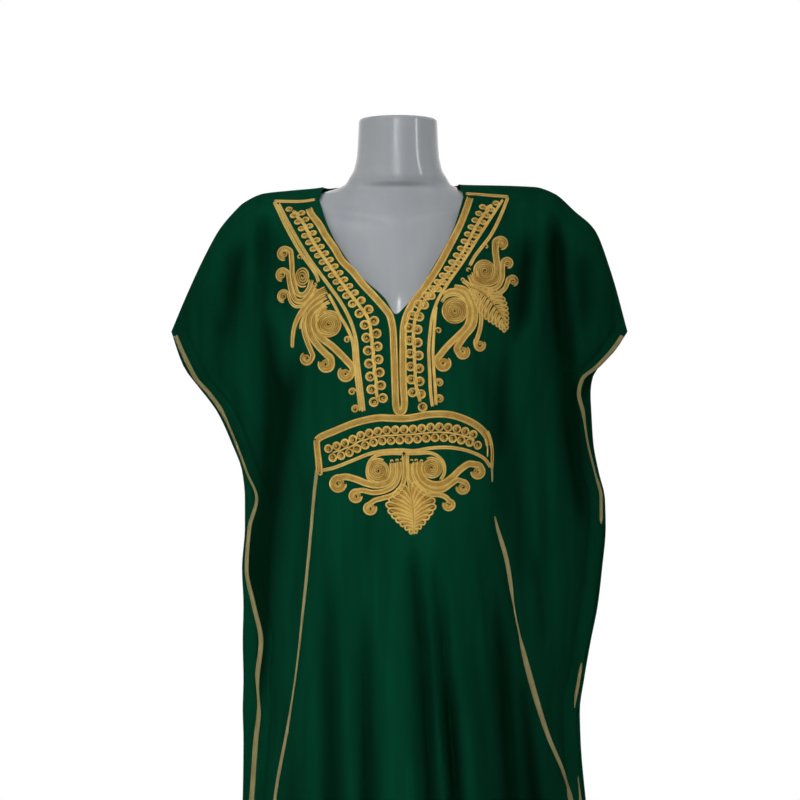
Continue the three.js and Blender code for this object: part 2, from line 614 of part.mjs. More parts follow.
// Overlapping pieces of one motif, joined into one closed body.
function joined(geometries) {
  const solids = geometries.map((geometry) => {
    const mesh = new wasm.Mesh({
      numProp: 3,
      vertProperties: new Float32Array(geometry.attributes.position.array),
      triVerts: new Uint32Array(geometry.index.array),
    });
    return new wasm.Manifold(mesh);
  });
  const { numProp, vertProperties, triVerts } = solids.reduce((a, b) => a.add(b)).simplify(0.06).getMesh();
  const points = [];
  for (let v = 0; v < vertProperties.length; v += numProp) {
    points.push(new THREE.Vector3(...vertProperties.slice(v, v + 3)));
  }
  return meshOf(points, [...triVerts]);
}

// The lines of the gold work, from the shoulders down.
const NECK_LINES = {
  left: {
    edge: [
      { x: -121, z: 1410 },
      { x: -101, z: 1380 },
      { x: -84.6, z: 1354 },
      { x: -67.5, z: 1329.5 },
      { x: -46.5, z: 1305 },
      { x: -25, z: 1281 },
      { x: -12, z: 1265.5 },
      { x: -7, z: 1245 },
      { x: -5.4, z: 1220 },
      { x: -3.7, z: 1171 },
      { x: -2.2, z: 1138 },
    ],
    outer: [
      { x: -166, z: 1416 },
      { x: -149, z: 1383 },
      { x: -129, z: 1349 },
      { x: -99, z: 1312 },
      { x: -72, z: 1283 },
      { x: -57, z: 1240 },
      { x: -52, z: 1199 },
      { x: -45, z: 1146 },
    ],
    cross: [
      { x: -166, z: 1417 },
      { x: -114, z: 1417 },
    ],
  },
  right: {
    edge: [
      { x: 96, z: 1413 },
      { x: 84, z: 1388 },
      { x: 69.5, z: 1359 },
      { x: 49, z: 1321 },
      { x: 32, z: 1293.5 },
      { x: 17, z: 1274 },
      { x: 9, z: 1255 },
      { x: 6.9, z: 1218 },
      { x: 7.3, z: 1171 },
      { x: 8.2, z: 1138 },
    ],
    outer: [
      { x: 147, z: 1420 },
      { x: 133, z: 1396 },
      { x: 113, z: 1356 },
      { x: 88, z: 1322 },
      { x: 60, z: 1290 },
      { x: 47, z: 1258 },
      { x: 46, z: 1205 },
      { x: 48, z: 1149 },
    ],
    cross: [
      { x: 147, z: 1421 },
      { x: 96, z: 1421 },
    ],
  },
};
const BORDER_WIDTH = 10;
const NECK_LOOPS = 24; // pairs of loops on each side of the neck
const LOOP_MARGIN = 1.5; // between the loops and the cords beside them

// A row of paired loops midway between two lines of cord: a ribbon that swells at each pair and
// keeps clear of both lines. It may start and end short of them.
function loopRow(lineA, lineB, pairs, [from, to], cordWidth) {
  const count = 60;
  const [along, beside] = [lineA, lineB].map((line) => smoothLine(line, count));
  const middle = along.map((p, k) => ({ x: (p.x + beside[k].x) / 2, z: (p.z + beside[k].z) / 2 }));
  const run = smoothLine(middle.slice(Math.round(from * count), Math.round(to * count) + 1), pairs * 2);
  const room = run.map((p) => {
    const away = [...along, ...beside].map((q) => Math.hypot(q.x - p.x, q.z - p.z));
    return 2 * (Math.min(...away) - cordWidth / 2 - LOOP_MARGIN);
  });
  return ribbon(run, (_, k) => (k % 2 === 1 ? room[k] : room[k] * 0.6));
}

const neckBorder = ({ outer, edge, cross }) => ({
  outer: joined([
    ribbon(smoothLine(outer, 20), () => BORDER_WIDTH),
    ribbon(smoothLine(cross, 4), () => BORDER_WIDTH * 0.5, CORD_HEIGHT * 0.9),
  ]),
  edge: ribbon(smoothLine(edge, 22), (t) => (t > 0.5 ? BORDER_WIDTH * 0.95 : BORDER_WIDTH)),
});

const BAND = {
  top: [
    { x: -109, z: 1097 },
    { x: -70, z: 1113.5 },
    { x: -20, z: 1128 },
    { x: 4, z: 1127.5 },
    { x: 26, z: 1129 },
    { x: 51, z: 1134 },
    { x: 74, z: 1131 },
    { x: 95, z: 1124 },
    { x: 112, z: 1113 },
    { x: 123, z: 1098 },
  ],
  bottom: [
    { x: -106, z: 1057.5 },
    { x: -78, z: 1062.5 },
    { x: -45, z: 1076 },
    { x: -28, z: 1081 },
    { x: 20, z: 1084 },
    { x: 52, z: 1087.5 },
    { x: 77, z: 1085 },
    { x: 109, z: 1076 },
    { x: 125, z: 1065 },
  ],
  leftEnd: [
    { x: -108, z: 1097 },
    { x: -107, z: 1050 },
  ],
  rightEnd: [
    { x: 123, z: 1100 },
    { x: 125, z: 1058 },
  ],
};
const BAND_LOOPS = 17;

const bandFrame = () =>
  joined([
    ribbon(smoothLine(BAND.top, 16), () => 8),
    ribbon(smoothLine(BAND.bottom, 16), () => 6, CORD_HEIGHT * 0.9),
    ribbon(smoothLine(BAND.leftEnd, 4), () => 7, CORD_HEIGHT * 0.95),
    ribbon(smoothLine(BAND.rightEnd, 4), () => 7, CORD_HEIGHT * 0.95),
  ]);

// A breast motif: two scrolls, a feathered leaf and curls at the ends of its stems. The right
// one is laid out by the same table, turned about its own middle and mirrored.
const BREAST = {
  scrolls: [
    { x: 0, z: 0, radius: 20, sides: 12, height: 2.6 },
    { x: 39, z: 60, radius: 12.5, sides: 9, height: 2.4 },
  ],
  curls: [
    { x: 62, z: 98, radius: 9 },
    { x: 66, z: 68, radius: 8.5 },
    { x: 66, z: 40, radius: 8.5 },
    { x: 30, z: -42, radius: 9 },
    { x: 5, z: -54, radius: 9.5 },
    { x: -22, z: -66, radius: 9.5 },
  ],
  stems: [
    { from: [52, 98], by: [46, 70], to: [30, 50], wide: 10 },
    { from: [60, 66], by: [50, 58], to: [40, 40], wide: 8 },
    { from: [60, 40], by: [44, 34], to: [20, 36], wide: 9 },
    { from: [30, -42], by: [38, -10], to: [16, 30], wide: 12 },
    { from: [8, -52], by: [24, -20], to: [22, 16], wide: 12 },
    { from: [-18, -62], by: [4, -34], to: [24, 0], wide: 11 },
    { from: [4, 8], by: [12, 38], to: [38, 54], wide: 11 },
  ],
  leaf: { from: [8, 44], by: [40, 22], to: [58, -18], wide: 24 },
};
const BREAST_PLACES = {
  left: { x: -91, z: 1252, mirror: -1, narrow: 0.97 },
  right: { x: 82, z: 1268, mirror: 1, narrow: 0.97 },
};

// The motif under the band: two scrolls back to back, stems with curls, and a leaf that hangs.
const BELOW_BAND = {
  scrolls: [{ x: 36, z: 0, radius: 19, sides: 12, height: 2.6 }],
  curls: [
    { x: 90, z: -10, radius: 11 },
    { x: 64, z: -34, radius: 9 },
    { x: 46, z: -50, radius: 8.5 },
  ],
  stems: [
    { from: [88, -6], by: [62, -8], to: [36, -22], wide: 12 },
    { from: [62, -32], by: [44, -36], to: [18, -26], wide: 11 },
    { from: [45, -46], by: [32, -44], to: [12, -30], wide: 9 },
    { from: [34, 4], by: [16, 14], to: [0, -8], wide: 14 },
  ],
  leaf: { from: [0, 12], by: [3, -44], to: [12, -86], wide: 62 },
};
const BELOW_BAND_PLACE = { x: 12, z: 1057 };

// Places a motif's stem or leaf as a ribbon: an arc from one end by a middle point to the other.
function stemRibbon(stem, place, mirror, widthAt, height) {
  const [from, by, to] = [stem.from, stem.by, stem.to].map(([x, z]) => ({
    x: place.x + mirror * x * (place.narrow ?? 1),
    z: place.z + z,
  }));
  return ribbon(smoothLine([from, by, to], 4), (t) => stem.wide * widthAt(t), height);
}

const leafWidth = (t) => 0.1 + 0.9 * Math.sin(Math.PI * clamp(t * 0.92 + 0.12, 0, 1)) ** 0.8;
const placeBoss = (part, place, mirror) =>
  boss({ ...part, x: place.x + mirror * part.x * (place.narrow ?? 1), z: place.z + part.z });

function motif(design, place, mirrors) {
  const half = (mirror) => [
    ...design.scrolls.map((part) => placeBoss(part, place, mirror)),
    ...design.curls.map((part) => placeBoss({ ...part, sides: 7 }, place, mirror)),
    ...design.stems.map((stem, k) =>
      stemRibbon(stem, place, mirror, (t) => mix(0.6, 1, ease(t)), CORD_HEIGHT * (0.94 + 0.02 * k)),
    ),
  ];
  const leaf = stemRibbon(design.leaf, place, mirrors[0], leafWidth, CORD_HEIGHT * 1.15);
  return joined([...mirrors.flatMap(half), leaf]);
}

// The skirt braids run from the ends of the band to the hem.
const SKIRT_BRAIDS = {
  left: [
    { x: -107, z: 1044 },
    { x: -114, z: 1010 },
    { x: -117, z: 975 },
    { x: -123, z: 913 },
    { x: -129, z: 858 },
    { x: -138, z: 780 },
    { x: -150, z: 705 },
    { x: -166, z: 620 },
    { x: -186, z: 420 },
    { x: -204, z: 200 },
    { x: -215, z: HEM_Z + 2 },
  ],
  right: [
    { x: 127, z: 1050 },
    { x: 131, z: 992 },
    { x: 147, z: 935 },
    { x: 160, z: 856 },
    { x: 176, z: 788 },
    { x: 206, z: 690 },
    { x: 230, z: 632 },
    { x: 247, z: 560 },
    { x: 262, z: 420 },
    { x: 276, z: 240 },
    { x: 284, z: HEM_Z + 2 },
  ],
};

// ---------------------------------------------------------------- the display form

// A closed body from level outlines, each a squared ellipse with its own reach front and back.
function formSolid(sides = 26) {
  const rings = FORM.map((row) =>
    Array.from({ length: sides }, (_, s) => {
      const turn = (-2 * Math.PI * s) / sides;
      const bulge = (v) => Math.sign(v) * Math.abs(v) ** (2 / row.square);
      const reach = Math.sin(turn) < 0 ? row.front : row.back;
      return new THREE.Vector3(row.width * bulge(Math.cos(turn)), reach * bulge(Math.sin(turn)), row.z);
    }),
  );
  return ringSolid(rings);
}

// A solid of revolution about the upright axis, from pairs of radius and height.
function turned(profile, sides) {
  const geometry = new THREE.LatheGeometry(
    profile.map(([radius, z]) => new THREE.Vector2(radius, z)),
    sides,
  );
  return geometry.rotateX(Math.PI / 2);
}

const poleSolid = () =>
  turned(
    [
      [0, BASE_HEIGHT + FIT_GAP],
      [POLE_RADIUS, BASE_HEIGHT + FIT_GAP],
      [POLE_RADIUS, FORM_BOTTOM_Z - FIT_GAP],
      [0, FORM_BOTTOM_Z - FIT_GAP],
    ],
    20,
  );

const baseSolid = () =>
  turned(
    [
      [0, 0],
      [BASE_RADIUS, 0],
      [BASE_RADIUS, BASE_HEIGHT - 5],
      [BASE_RADIUS - 6, BASE_HEIGHT - 1],
      [BASE_RADIUS - 14, BASE_HEIGHT],
      [0, BASE_HEIGHT],
    ],
    40,
  );

// ---------------------------------------------------------------- assembly

const clothGreen = new THREE.MeshStandardMaterial({ color: GREEN, roughness: 0.75, metalness: 0, side: THREE.DoubleSide });
const gold = new THREE.MeshStandardMaterial({ color: GOLD, roughness: 0.45, metalness: 0.35 });
const plastic = new THREE.MeshStandardMaterial({ color: GREY, roughness: 0.15, metalness: 0 });
const metal = new THREE.MeshStandardMaterial({ color: STEEL, roughness: 0.3, metalness: 1 });

const kandura = new THREE.Group();
function add(name, geometry, material) {
  const mesh = new THREE.Mesh(geometry, material);
  mesh.name = name;
  kandura.add(mesh);
}

// A braid along one side of a panel, a little inside its edge, from a given row to the hem.
function edgeBraid(panel, column, inward, firstRow) {
  const line = panel.grid.at(column).slice(firstRow).map(({ point }) => ({
    x: point.x + inward * (BRAID_INSET + BRAID_WIDTH / 2),
    z: point.z,
  }));
  return ribbon(line, () => BRAID_WIDTH, BRAID_HEIGHT, panel);
}
const BACK_BRAID_ROW = 4; // the first row of the back that is behind the crest

for (const [name, { grid }] of Object.entries(PANELS)) {
  const { upper, lower } = lengthsOf(grid, DIVIDING_ROWS[name]);
  const uppers = name === "back" ? halvesOf(upper) : { whole: upper };
  for (const [half, part] of Object.entries(uppers)) {
    const ending = half === "whole" ? "" : `_${half}`;
    add(`${name}_panel_upper${ending}`, clothWall(part, CLOTH), clothGreen);
  }
  add(`${name}_panel_lower`, clothWall(lower, CLOTH), clothGreen);
}
add("edge_braid_front_left", edgeBraid(PANELS.front, 0, 1, 1), gold);
add("edge_braid_front_right", edgeBraid(PANELS.front, -1, -1, 1), gold);
add("edge_braid_back_left", edgeBraid(PANELS.back, -1, 1, BACK_BRAID_ROW), gold);
add("edge_braid_back_right", edgeBraid(PANELS.back, 0, -1, BACK_BRAID_ROW), gold);

for (const [side, lines] of Object.entries(NECK_LINES)) {
  const border = neckBorder(lines);
  add(`neck_border_outer_${side}`, border.outer, gold);
  add(`neck_border_edge_${side}`, border.edge, gold);
  add(`neck_loops_${side}`, loopRow(lines.edge, lines.outer, NECK_LOOPS, [0.05, 1], BORDER_WIDTH), gold);
  const place = BREAST_PLACES[side];
  add(`breast_motif_${side}`, motif(BREAST, place, [place.mirror]), gold);
  add(`skirt_braid_${side}`, ribbon(smoothLine(SKIRT_BRAIDS[side], 30), () => BRAID_WIDTH, BRAID_HEIGHT), gold);
}
add("band_frame", bandFrame(), gold);
add("band_loops", loopRow(BAND.top, BAND.bottom, BAND_LOOPS, [0.07, 0.93], 8), gold);
add("band_motif", motif(BELOW_BAND, BELOW_BAND_PLACE, [-1, 1]), gold);

add("display_form", formSolid(), plastic);
add("stand_pole", poleSolid(), metal);
add("stand_base", baseSolid(), metal);

export default kandura;
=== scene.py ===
"""A green kandura with couched gold cord work on a glossy limbless display form.

Every piece is worked out in millimetres from short tables and formulas, as whole numpy arrays,
and written to Blender in metres. +Z is up and the front faces -Y. Left and right, in names and
in tables, are as seen from the front: left is -X.
"""

import logging
from dataclasses import dataclass, field
from enum import Enum

import bpy
import numpy as np
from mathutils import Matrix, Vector


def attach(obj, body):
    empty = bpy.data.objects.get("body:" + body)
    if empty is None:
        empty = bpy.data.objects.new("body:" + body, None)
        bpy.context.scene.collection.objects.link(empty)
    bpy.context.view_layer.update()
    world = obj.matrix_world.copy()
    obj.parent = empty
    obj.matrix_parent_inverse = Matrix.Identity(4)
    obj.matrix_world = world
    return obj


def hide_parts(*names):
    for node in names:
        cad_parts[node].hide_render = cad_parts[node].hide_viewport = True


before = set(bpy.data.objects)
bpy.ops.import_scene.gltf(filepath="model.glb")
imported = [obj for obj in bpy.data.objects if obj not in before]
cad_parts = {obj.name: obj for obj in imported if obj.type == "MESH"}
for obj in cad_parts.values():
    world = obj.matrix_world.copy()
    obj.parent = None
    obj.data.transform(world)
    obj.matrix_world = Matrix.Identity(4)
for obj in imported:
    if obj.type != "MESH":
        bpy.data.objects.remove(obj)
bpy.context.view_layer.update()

LOG = logging.getLogger("kandura")
MM = 0.001
Array = np.ndarray

# ---------------------------------------------------------------- driving sizes, in millimetres

HEM_Z = 46.0  # height of the level hem
SEAM_DROP = 20.0  # the shoulder seam runs this far below the crest, on the front
CLOTH = 1.4  # room of the cloth wall, inside its outer face
SHEET = 0.8  # thickness of the cloth that shows
SEAM_GAP = 0.6  # between the front and the back along the side seams
FLAP = 20.0  # flat margin outside each side seam
FOLDS_EASE = 70.0  # the folds come in over this much height below the crest
SIDE_DROP = 60.0  # beyond the shoulders the cloth closes over this much height below the crest
LEAST_STANDOFF = 7.0  # no fold brings the cloth much nearer to the side plane than this
BACK_TURN = 60.0  # the back's upper rows follow the crest to this far below it
FOLD_SHADE_FULL = 24.0  # fold depth at which the painted shade in a fold's hollow is darkest
CORD = 1.3  # half the thickness of a couched cord
CORD_FLATNESS = 0.75  # a cord's height over its width
CORD_SEAT = 0.62  # how high a cord's middle stands over the cloth, in its radius
PITCH = 2.45  # distance between the middles of cords that lie side by side
OUTER_LIFT = 0.35  # the outer cords of a bundle stand this much higher
COIL_PITCH = 2.7  # distance between the turns of a coil
LINE_STEP = 1.3  # distance between the points of a curl or a coil
CURL_TURN = np.radians(285)  # how far a stem winds round the middle of its curl
CURL_EASE = 1.2  # it comes to its circle over this much of the turn, in radians
CURL_CORE = 0.62  # radius of the coil in a curl's middle, in the curl's own radius
RING_TURNS = 2.1  # turns of cord in a ring of a chain
RING_WIND = 0.72  # how much of its radius a ring loses in each turn after the first
LEAF_BOW = 0.06  # the loops of a leaf bow aside by this share of their length
LEAF_KNEE = 0.55  # where on its way to the tip a loop bows most
LEAF_GAP = 0.9  # left free beside a loop, between its line and the next one's
RING_SPREAD = 0.35  # a chain's rings are this much larger than its sizes say
BRAID_WIDTH = 7.0
BRAID_INSET = 0.2  # cloth that shows outside an edge braid


class Side(Enum):
    """Which of the two cloth panels, by the sign of y on its outer face."""

    FRONT = -1
    BACK = 1


# ---------------------------------------------------------------- curves and tables


class Curve:
    """A smooth curve through a few places, whose slopes never swing it past them."""

    def __init__(self, at: Array, value: Array) -> None:
        """Sorts the places and works out a slope at each.

        Args:
            at: where the curve is read.
            value: its value at each of those places.
        """
        order = np.argsort(at)
        self.at = np.asarray(at, float)[order]
        self.value = np.asarray(value, float)[order]
        rise = np.diff(self.value) / np.diff(self.at)
        before = np.concatenate([rise[:1], rise])
        after = np.concatenate([rise, rise[-1:]])
        same = before * after > 0
        total = np.where(same, before + after, 1.0)
        self.slope = np.where(same, 2 * before * after / total, 0.0)

    def __call__(self, where: Array) -> Array:
        """The curve's value.

        Args:
            where: places to read it, of any shape.

        Returns:
            The values there; beyond the ends the end values hold.
        """
        a = np.clip(where, self.at[0], self.at[-1])
        k = np.clip(np.searchsorted(self.at, a, side="right") - 1, 0, len(self.at) - 2)
        span = self.at[k + 1] - self.at[k]
        t = (a - self.at[k]) / span
        ease = t * t * (3 - 2 * t)
        ends = self.value[k] + (self.value[k + 1] - self.value[k]) * ease
        return ends + span * t * (1 - t) * (self.slope[k] * (1 - t) - self.slope[k + 1] * t)


class Table:
    """Rows of numbers with named columns."""

    def __init__(self, columns: str, *rows: tuple[float, ...]) -> None:
        """Keeps each column as an array.

        Args:
            columns: the names, with blanks between them.
            rows: the rows, one number for each column.
        """
        self.names = columns.split()
        self.data = np.array(rows, float)

    def __getitem__(self, name: str) -> Array:
        """The column of that name."""
        return self.data[:, self.names.index(name)]

    def curve(self, along: str, column: str) -> Curve:
        """A smooth curve of one column, read along another."""
        return Curve(self[along], self[column])


def smooth_step(t: Array) -> Array:
    """Rises from 0 to 1 with level ends: t squared times (3 - 2 t)."""
    c = np.clip(t, 0, 1)
    return c * c * (3 - 2 * c)


# The height of the shoulders' crest across, from one sleeve's corner to the other.
CREST = Table(
    "x z",
    (-315, 1246), (-294, 1296), (-267, 1354), (-248, 1388), (-230, 1410), (-213, 1426),
    (-186, 1438), (-150, 1442), (-108, 1446), (-90, 1451), (-40, 1472), (0, 1480),
    (40, 1471), (75, 1454), (90, 1450), (141, 1449), (190, 1447), (217, 1438),
    (246, 1413), (273, 1388), (297, 1326), (319, 1246),
)
# Where the cloth's edges are at each height, and how far the sleeve mouths stand open.
EDGES = Table(
    "z front_left front_right back_left back_right open",
    (1246, -315, 319, -315, 319, 0),
    (1220, -303, 300, -308, 303, 14),
    (1196, -291, 277, -299, 280, 22),
    (1180, -282, 258, -288, 272, 26),
    (1160, -264, 253, -272, 270, 28),
    (1134, -246, 259, -253, 271, 26),
    (1092, -228, 266, -233, 273, 18),
    (1050, -213, 277, -217, 280, 8),
    (1014, -200, 286, -213, 288, 0),
    (974, -210, 286, -213, 289, 0),
    (917, -214, 280, -217, 284, 0),
    (866, -204, 274, -215, 278, 0),
    (815, -194, 264, -216, 268, 0),
    (763, -199, 255, -215, 259, 0),
    (719, -197, 249, -216, 253, 0),
    (680, -201, 250, -215, 254, 0),
    (598, -207, 257, -216, 261, 0),
    (420, -226, 280, -231, 285, 0),
    (240, -246, 298, -251, 303, 0),
    (46, -263, 312, -268, 317, 0),
)
# How far the cloth stands out from the side plane, over the body and in the wings.
STANDOFF = Table(
    "z front_body back_body body_width front_wing back_wing",
    (1480, 84, 72, 172, 42, 40),
    (1320, 86, 76, 168, 42, 40),
    (1210, 92, 70, 164, 40, 40),
    (1100, 86, 64, 160, 40, 40),
    (1000, 80, 62, 160, 42, 42),
    (800, 76, 66, 166, 48, 48),
    (420, 82, 76, 190, 60, 58),
    (46, 88, 84, 215, 74, 70),
)
# The front neckline.
NECK = Table(
    "x z",
    (-108, 1425.6), (-97, 1392), (-82, 1361), (-49, 1316), (-17, 1286), (-3, 1265.5),
    (10, 1276), (29, 1299), (46, 1327), (75, 1382), (90, 1429.6),
)
# How far below the crest the back neckline lies; less than nothing is on the front.
BACK_NECK = Table(
    "x behind",
    (-108, -19.65), (-105, -8), (-102, 0.5), (-82, 5), (-40, 19), (0, 26),
    (36, 19), (68, 5), (84, 0.5), (87, -8), (90, -19.65),
)
NECK_LEFT, NECK_RIGHT = -108.0, 90.0

# A fold runs from (x, z) to (to_x, to_z) in an arc that bows aside. It has a depth, a width to its
# left and to its right, and shares of its length over which it fades in and out.
FOLD_COLUMNS = "x z to_x to_z bow depth left right fade_in fade_out"
FRONT_FOLDS = Table(
    FOLD_COLUMNS,
    (-128, 1240, -192, 640, -21, 24, 30, 14, 0.16, 0.3),
    (-176, 1415, -150, 1245, -6, 11, 16, 15, 0.3, 0.3),
    (-193, 1290, -166, 1050, 0, 10, 15, 13, 0.3, 0.3),
    (-229, 1385, -243, 1225, 0, 10, 16, 16, 0.3, 0.3),
    (-280, 1172, -206, 1100, 20, -9, 14, 14, 0.3, 0.3),
    (-206, 938, -176, 941, 0, 9, 14, 14, 0.4, 0.4),
    (-104, 990, -82, 46, 10, 11, 17, 17, 0.3, 0),
    (-66, 990, 2, 46, 0, 12, 16, 16, 0.3, 0),
    (20, 985, 70, 46, 0, 14, 15, 15, 0.2, 0),
    (42, 995, 138, 46, 0, 12, 15, 15, 0.35, 0),
    (74, 1015, 192, 46, 5, 11, 16, 16, 0.3, 0),
    (104, 1240, 150, 930, 12, 10, 13, 15, 0.3, 0.3),
    (136, 960, 228, 46, -14, 17, 18, 18, 0.3, 0),
    (137, 1215, 177, 860, 8, 10, 14, 15, 0.3, 0.3),
    (184, 1400, 160, 1225, 0, 13, 12, 18, 0.3, 0.3),
    (217, 1412, 262, 940, -8, 22, 18, 16, 0.15, 0.3),
    (262, 1368, 268, 1255, 0, 8, 14, 14, 0.3, 0.3),
    (172, 810, 264, 46, -10, 15, 15, 15, 0.3, 0),
    (-142, 760, -150, 46, 0, 15, 17, 17, 0.3, 0),
    (-196, 640, -212, 46, 0, 13, 16, 16, 0.3, 0),
)
BACK_FOLDS = Table(
    FOLD_COLUMNS,
    (-176, 1400, -172, 700, -8, 20, 17, 20, 0.15, 0.3),
    (-226, 1370, -206, 1030, 6, 12, 16, 16, 0.3, 0.3),
    (-128, 1240, -196, 46, 0, 17, 18, 16, 0.25, 0),
    (-86, 1150, -118, 46, 4, 13, 17, 15, 0.3, 0),
    (-40, 1120, -44, 46, 0, 15, 16, 18, 0.3, 0),
    (10, 1180, 26, 46, -4, 13, 16, 16, 0.3, 0),
    (62, 1120, 92, 46, 0, 15, 17, 15, 0.3, 0),
    (108, 1210, 158, 46, 6, 14, 16, 18, 0.25, 0),
    (170, 1390, 186, 760, 8, 18, 18, 16, 0.15, 0.3),
    (226, 1370, 240, 980, -6, 13, 16, 16, 0.25, 0.3),
    (200, 900, 232, 46, 0, 17, 17, 17, 0.3, 0),
)
# Creases between the folds, which only the finished cloth has.
FRONT_CREASES = Table(
    FOLD_COLUMNS,
    (-300, 1225, -196, 1030, 10, 5.0, 6, 8, 0.2, 0.3),
    (-262, 1300, -238, 1150, 6, 4.0, 7, 8, 0.3, 0.4),
    (-214, 1330, -196, 1130, -6, 3.5, 6, 8, 0.3, 0.3),
    (-238, 1110, -205, 1060, 6, 4.5, 5, 6, 0.3, 0.4),
    (-220, 1380, -234, 1200, 0, 9, 9, 9, 0.3, 0.3),
    (-262, 1195, -203, 1105, 8, 10.0, 8, 8, 0.3, 0.3),
    (-186, 1418, -190, 1240, 0, 14, 9, 10, 0.2, 0.3),
    (-188, 1290, -160, 1080, 4, 15, 10, 11, 0.3, 0.3),
    (-168, 1130, -190, 720, -4, 16, 12, 6, 0.15, 0.3),
    (-216, 1060, -204, 780, 6, 10.0, 10, 10, 0.3, 0.4),
    (-120, 1040, -150, 780, -4, 3.5, 6, 8, 0.3, 0.4),
    (-98, 960, -80, 150, 0, 10.0, 11, 12, 0.2, 0.5),
    (-43, 955, -37, 150, 0, 9, 7, 11, 0.2, 0.5),
    (54, 950, 86, 470, 0, 10, 7, 8, 0.25, 0.4),
    (148, 1240, 138, 1050, 0, 10, 9, 10, 0.3, 0.3),
    (186, 960, 206, 800, 0, 8, 8, 8, 0.3, 0.3),
    (252, 1370, 262, 1230, 0, 9, 12, 12, 0.3, 0.3),
    (-212, 1390, -228, 1260, 0, 8, 13, 13, 0.3, 0.3),
    (-236, 1280, -262, 1170, 0, 8, 11, 11, 0.3, 0.3),
    (-20, 990, -30, 720, 4, 3.5, 6, 7, 0.3, 0.4),
    (20, 965, 40, 790, -3, 8.0, 6, 8, 0.2, 0.3),
    (34, 860, 68, 240, -3, 11, 7, 11, 0.15, 0.5),
    (50, 980, 66, 640, -3, 4.5, 6, 8, 0.3, 0.4),
    (68, 800, 96, 200, 0, 9.0, 11, 12, 0.15, 0.5),
    (104, 980, 130, 700, 5, 4.0, 6, 6, 0.3, 0.4),
    (120, 1010, 180, 700, 10, 4.5, 6, 7, 0.2, 0.4),
    (131, 930, 180, 200, 0, 13.0, 9, 13, 0.15, 0.5),
    (170, 790, 206, 400, 0, 13.0, 9, 10, 0.15, 0.45),
    (180, 1390, 159, 1215, 3, 11.0, 8, 10, 0.3, 0.3),
    (205, 1120, 214, 800, -5, 5.0, 8, 8, 0.3, 0.4),
    (202, 1350, 196, 1100, 4, 4.5, 6, 7, 0.3, 0.3),
    (218, 1420, 224, 1230, 0, 14, 9, 9, 0.15, 0.3),
    (224, 1280, 242, 1070, 3, 14, 9, 9, 0.3, 0.3),
    (238, 1330, 248, 1120, -4, 5.0, 6, 6, 0.3, 0.3),
    (236, 1150, 257, 950, 3, 15, 8, 12, 0.25, 0.3),
    (-30, 640, -38, 46, 0, 4.5, 8, 8, 0.3, 0),
    (48, 600, 38, 46, 0, 4.5, 8, 8, 0.3, 0),
    (100, 560, 110, 46, 0, 5.0, 8, 8, 0.3, 0),
    (176, 560, 206, 46, 0, 5.0, 8, 8, 0.3, 0),
    (-110, 560, -116, 46, 0, 5.0, 8, 8, 0.3, 0),
)
BACK_CREASES = Table(
    FOLD_COLUMNS,
    (-60, 1380, -52, 1120, 4, 2.5, 9, 9, 0.3, 0.4),
    (40, 1385, 44, 1130, -4, 2.5, 9, 9, 0.3, 0.4),
    (-20, 1000, -6, 46, 0, 3.5, 8, 8, 0.3, 0),
    (46, 980, 60, 46, 0, 3.0, 8, 8, 0.3, 0),
    (130, 900, 190, 46, 0, 4.0, 9, 9, 0.3, 0),
    (-150, 900, -160, 46, 0, 4.0, 9, 9, 0.3, 0),
    (-70, 900, -80, 46, 0, 3.5, 8, 8, 0.3, 0),
    (240, 1250, 250, 1060, 0, 4.0, 8, 8, 0.3, 0.4),
    (-246, 1280, -230, 1090, 0, 4.0, 8, 8, 0.3, 0.4),
)

CREST_Z = CREST.curve("x", "z")
MOUTH_OPEN = EDGES.curve("z", "open")
BODY_WIDTH = STANDOFF.curve("z", "body_width")


# ---------------------------------------------------------------- the draped cloth


def fold_depth(folds: Table, x: Array, z: Array) -> Array:
    """How deep the folds are at points seen from the front.

    Each fold is an arc from one end to the other. Its section is a bell with its own width on
    either side, and it fades in and out along its length.

    Args:
        folds: the table of arcs.
        x: across, in mm.
        z: up, in mm.

    Returns:
        The depth in mm, of the same shape as x.
    """
    total = np.zeros(np.broadcast(x, z).shape)
    for row in folds.data:
        x0, z0, x1, z1, bow, depth, left, right, fade_in, fade_out = row
        chord_x, chord_z = x1 - x0, z1 - z0
        length = float(np.hypot(chord_x, chord_z))
        along = ((x - x0) * chord_x + (z - z0) * chord_z) / length**2
        t = np.clip(along, 0, 1)
        aside = ((z - z0) * chord_x - (x - x0) * chord_z) / length
        across = aside - bow * 4 * t * (1 - t)
        width = np.where(across < 0, left, right)
        fade = smooth_step(t / fade_in) * (along > 0)
        if fade_out > 0:
            fade = fade * smooth_step((1 - t) / fade_out) * (along < 1)
        total += depth * fade * np.exp(-((across / width) ** 2))
    return total


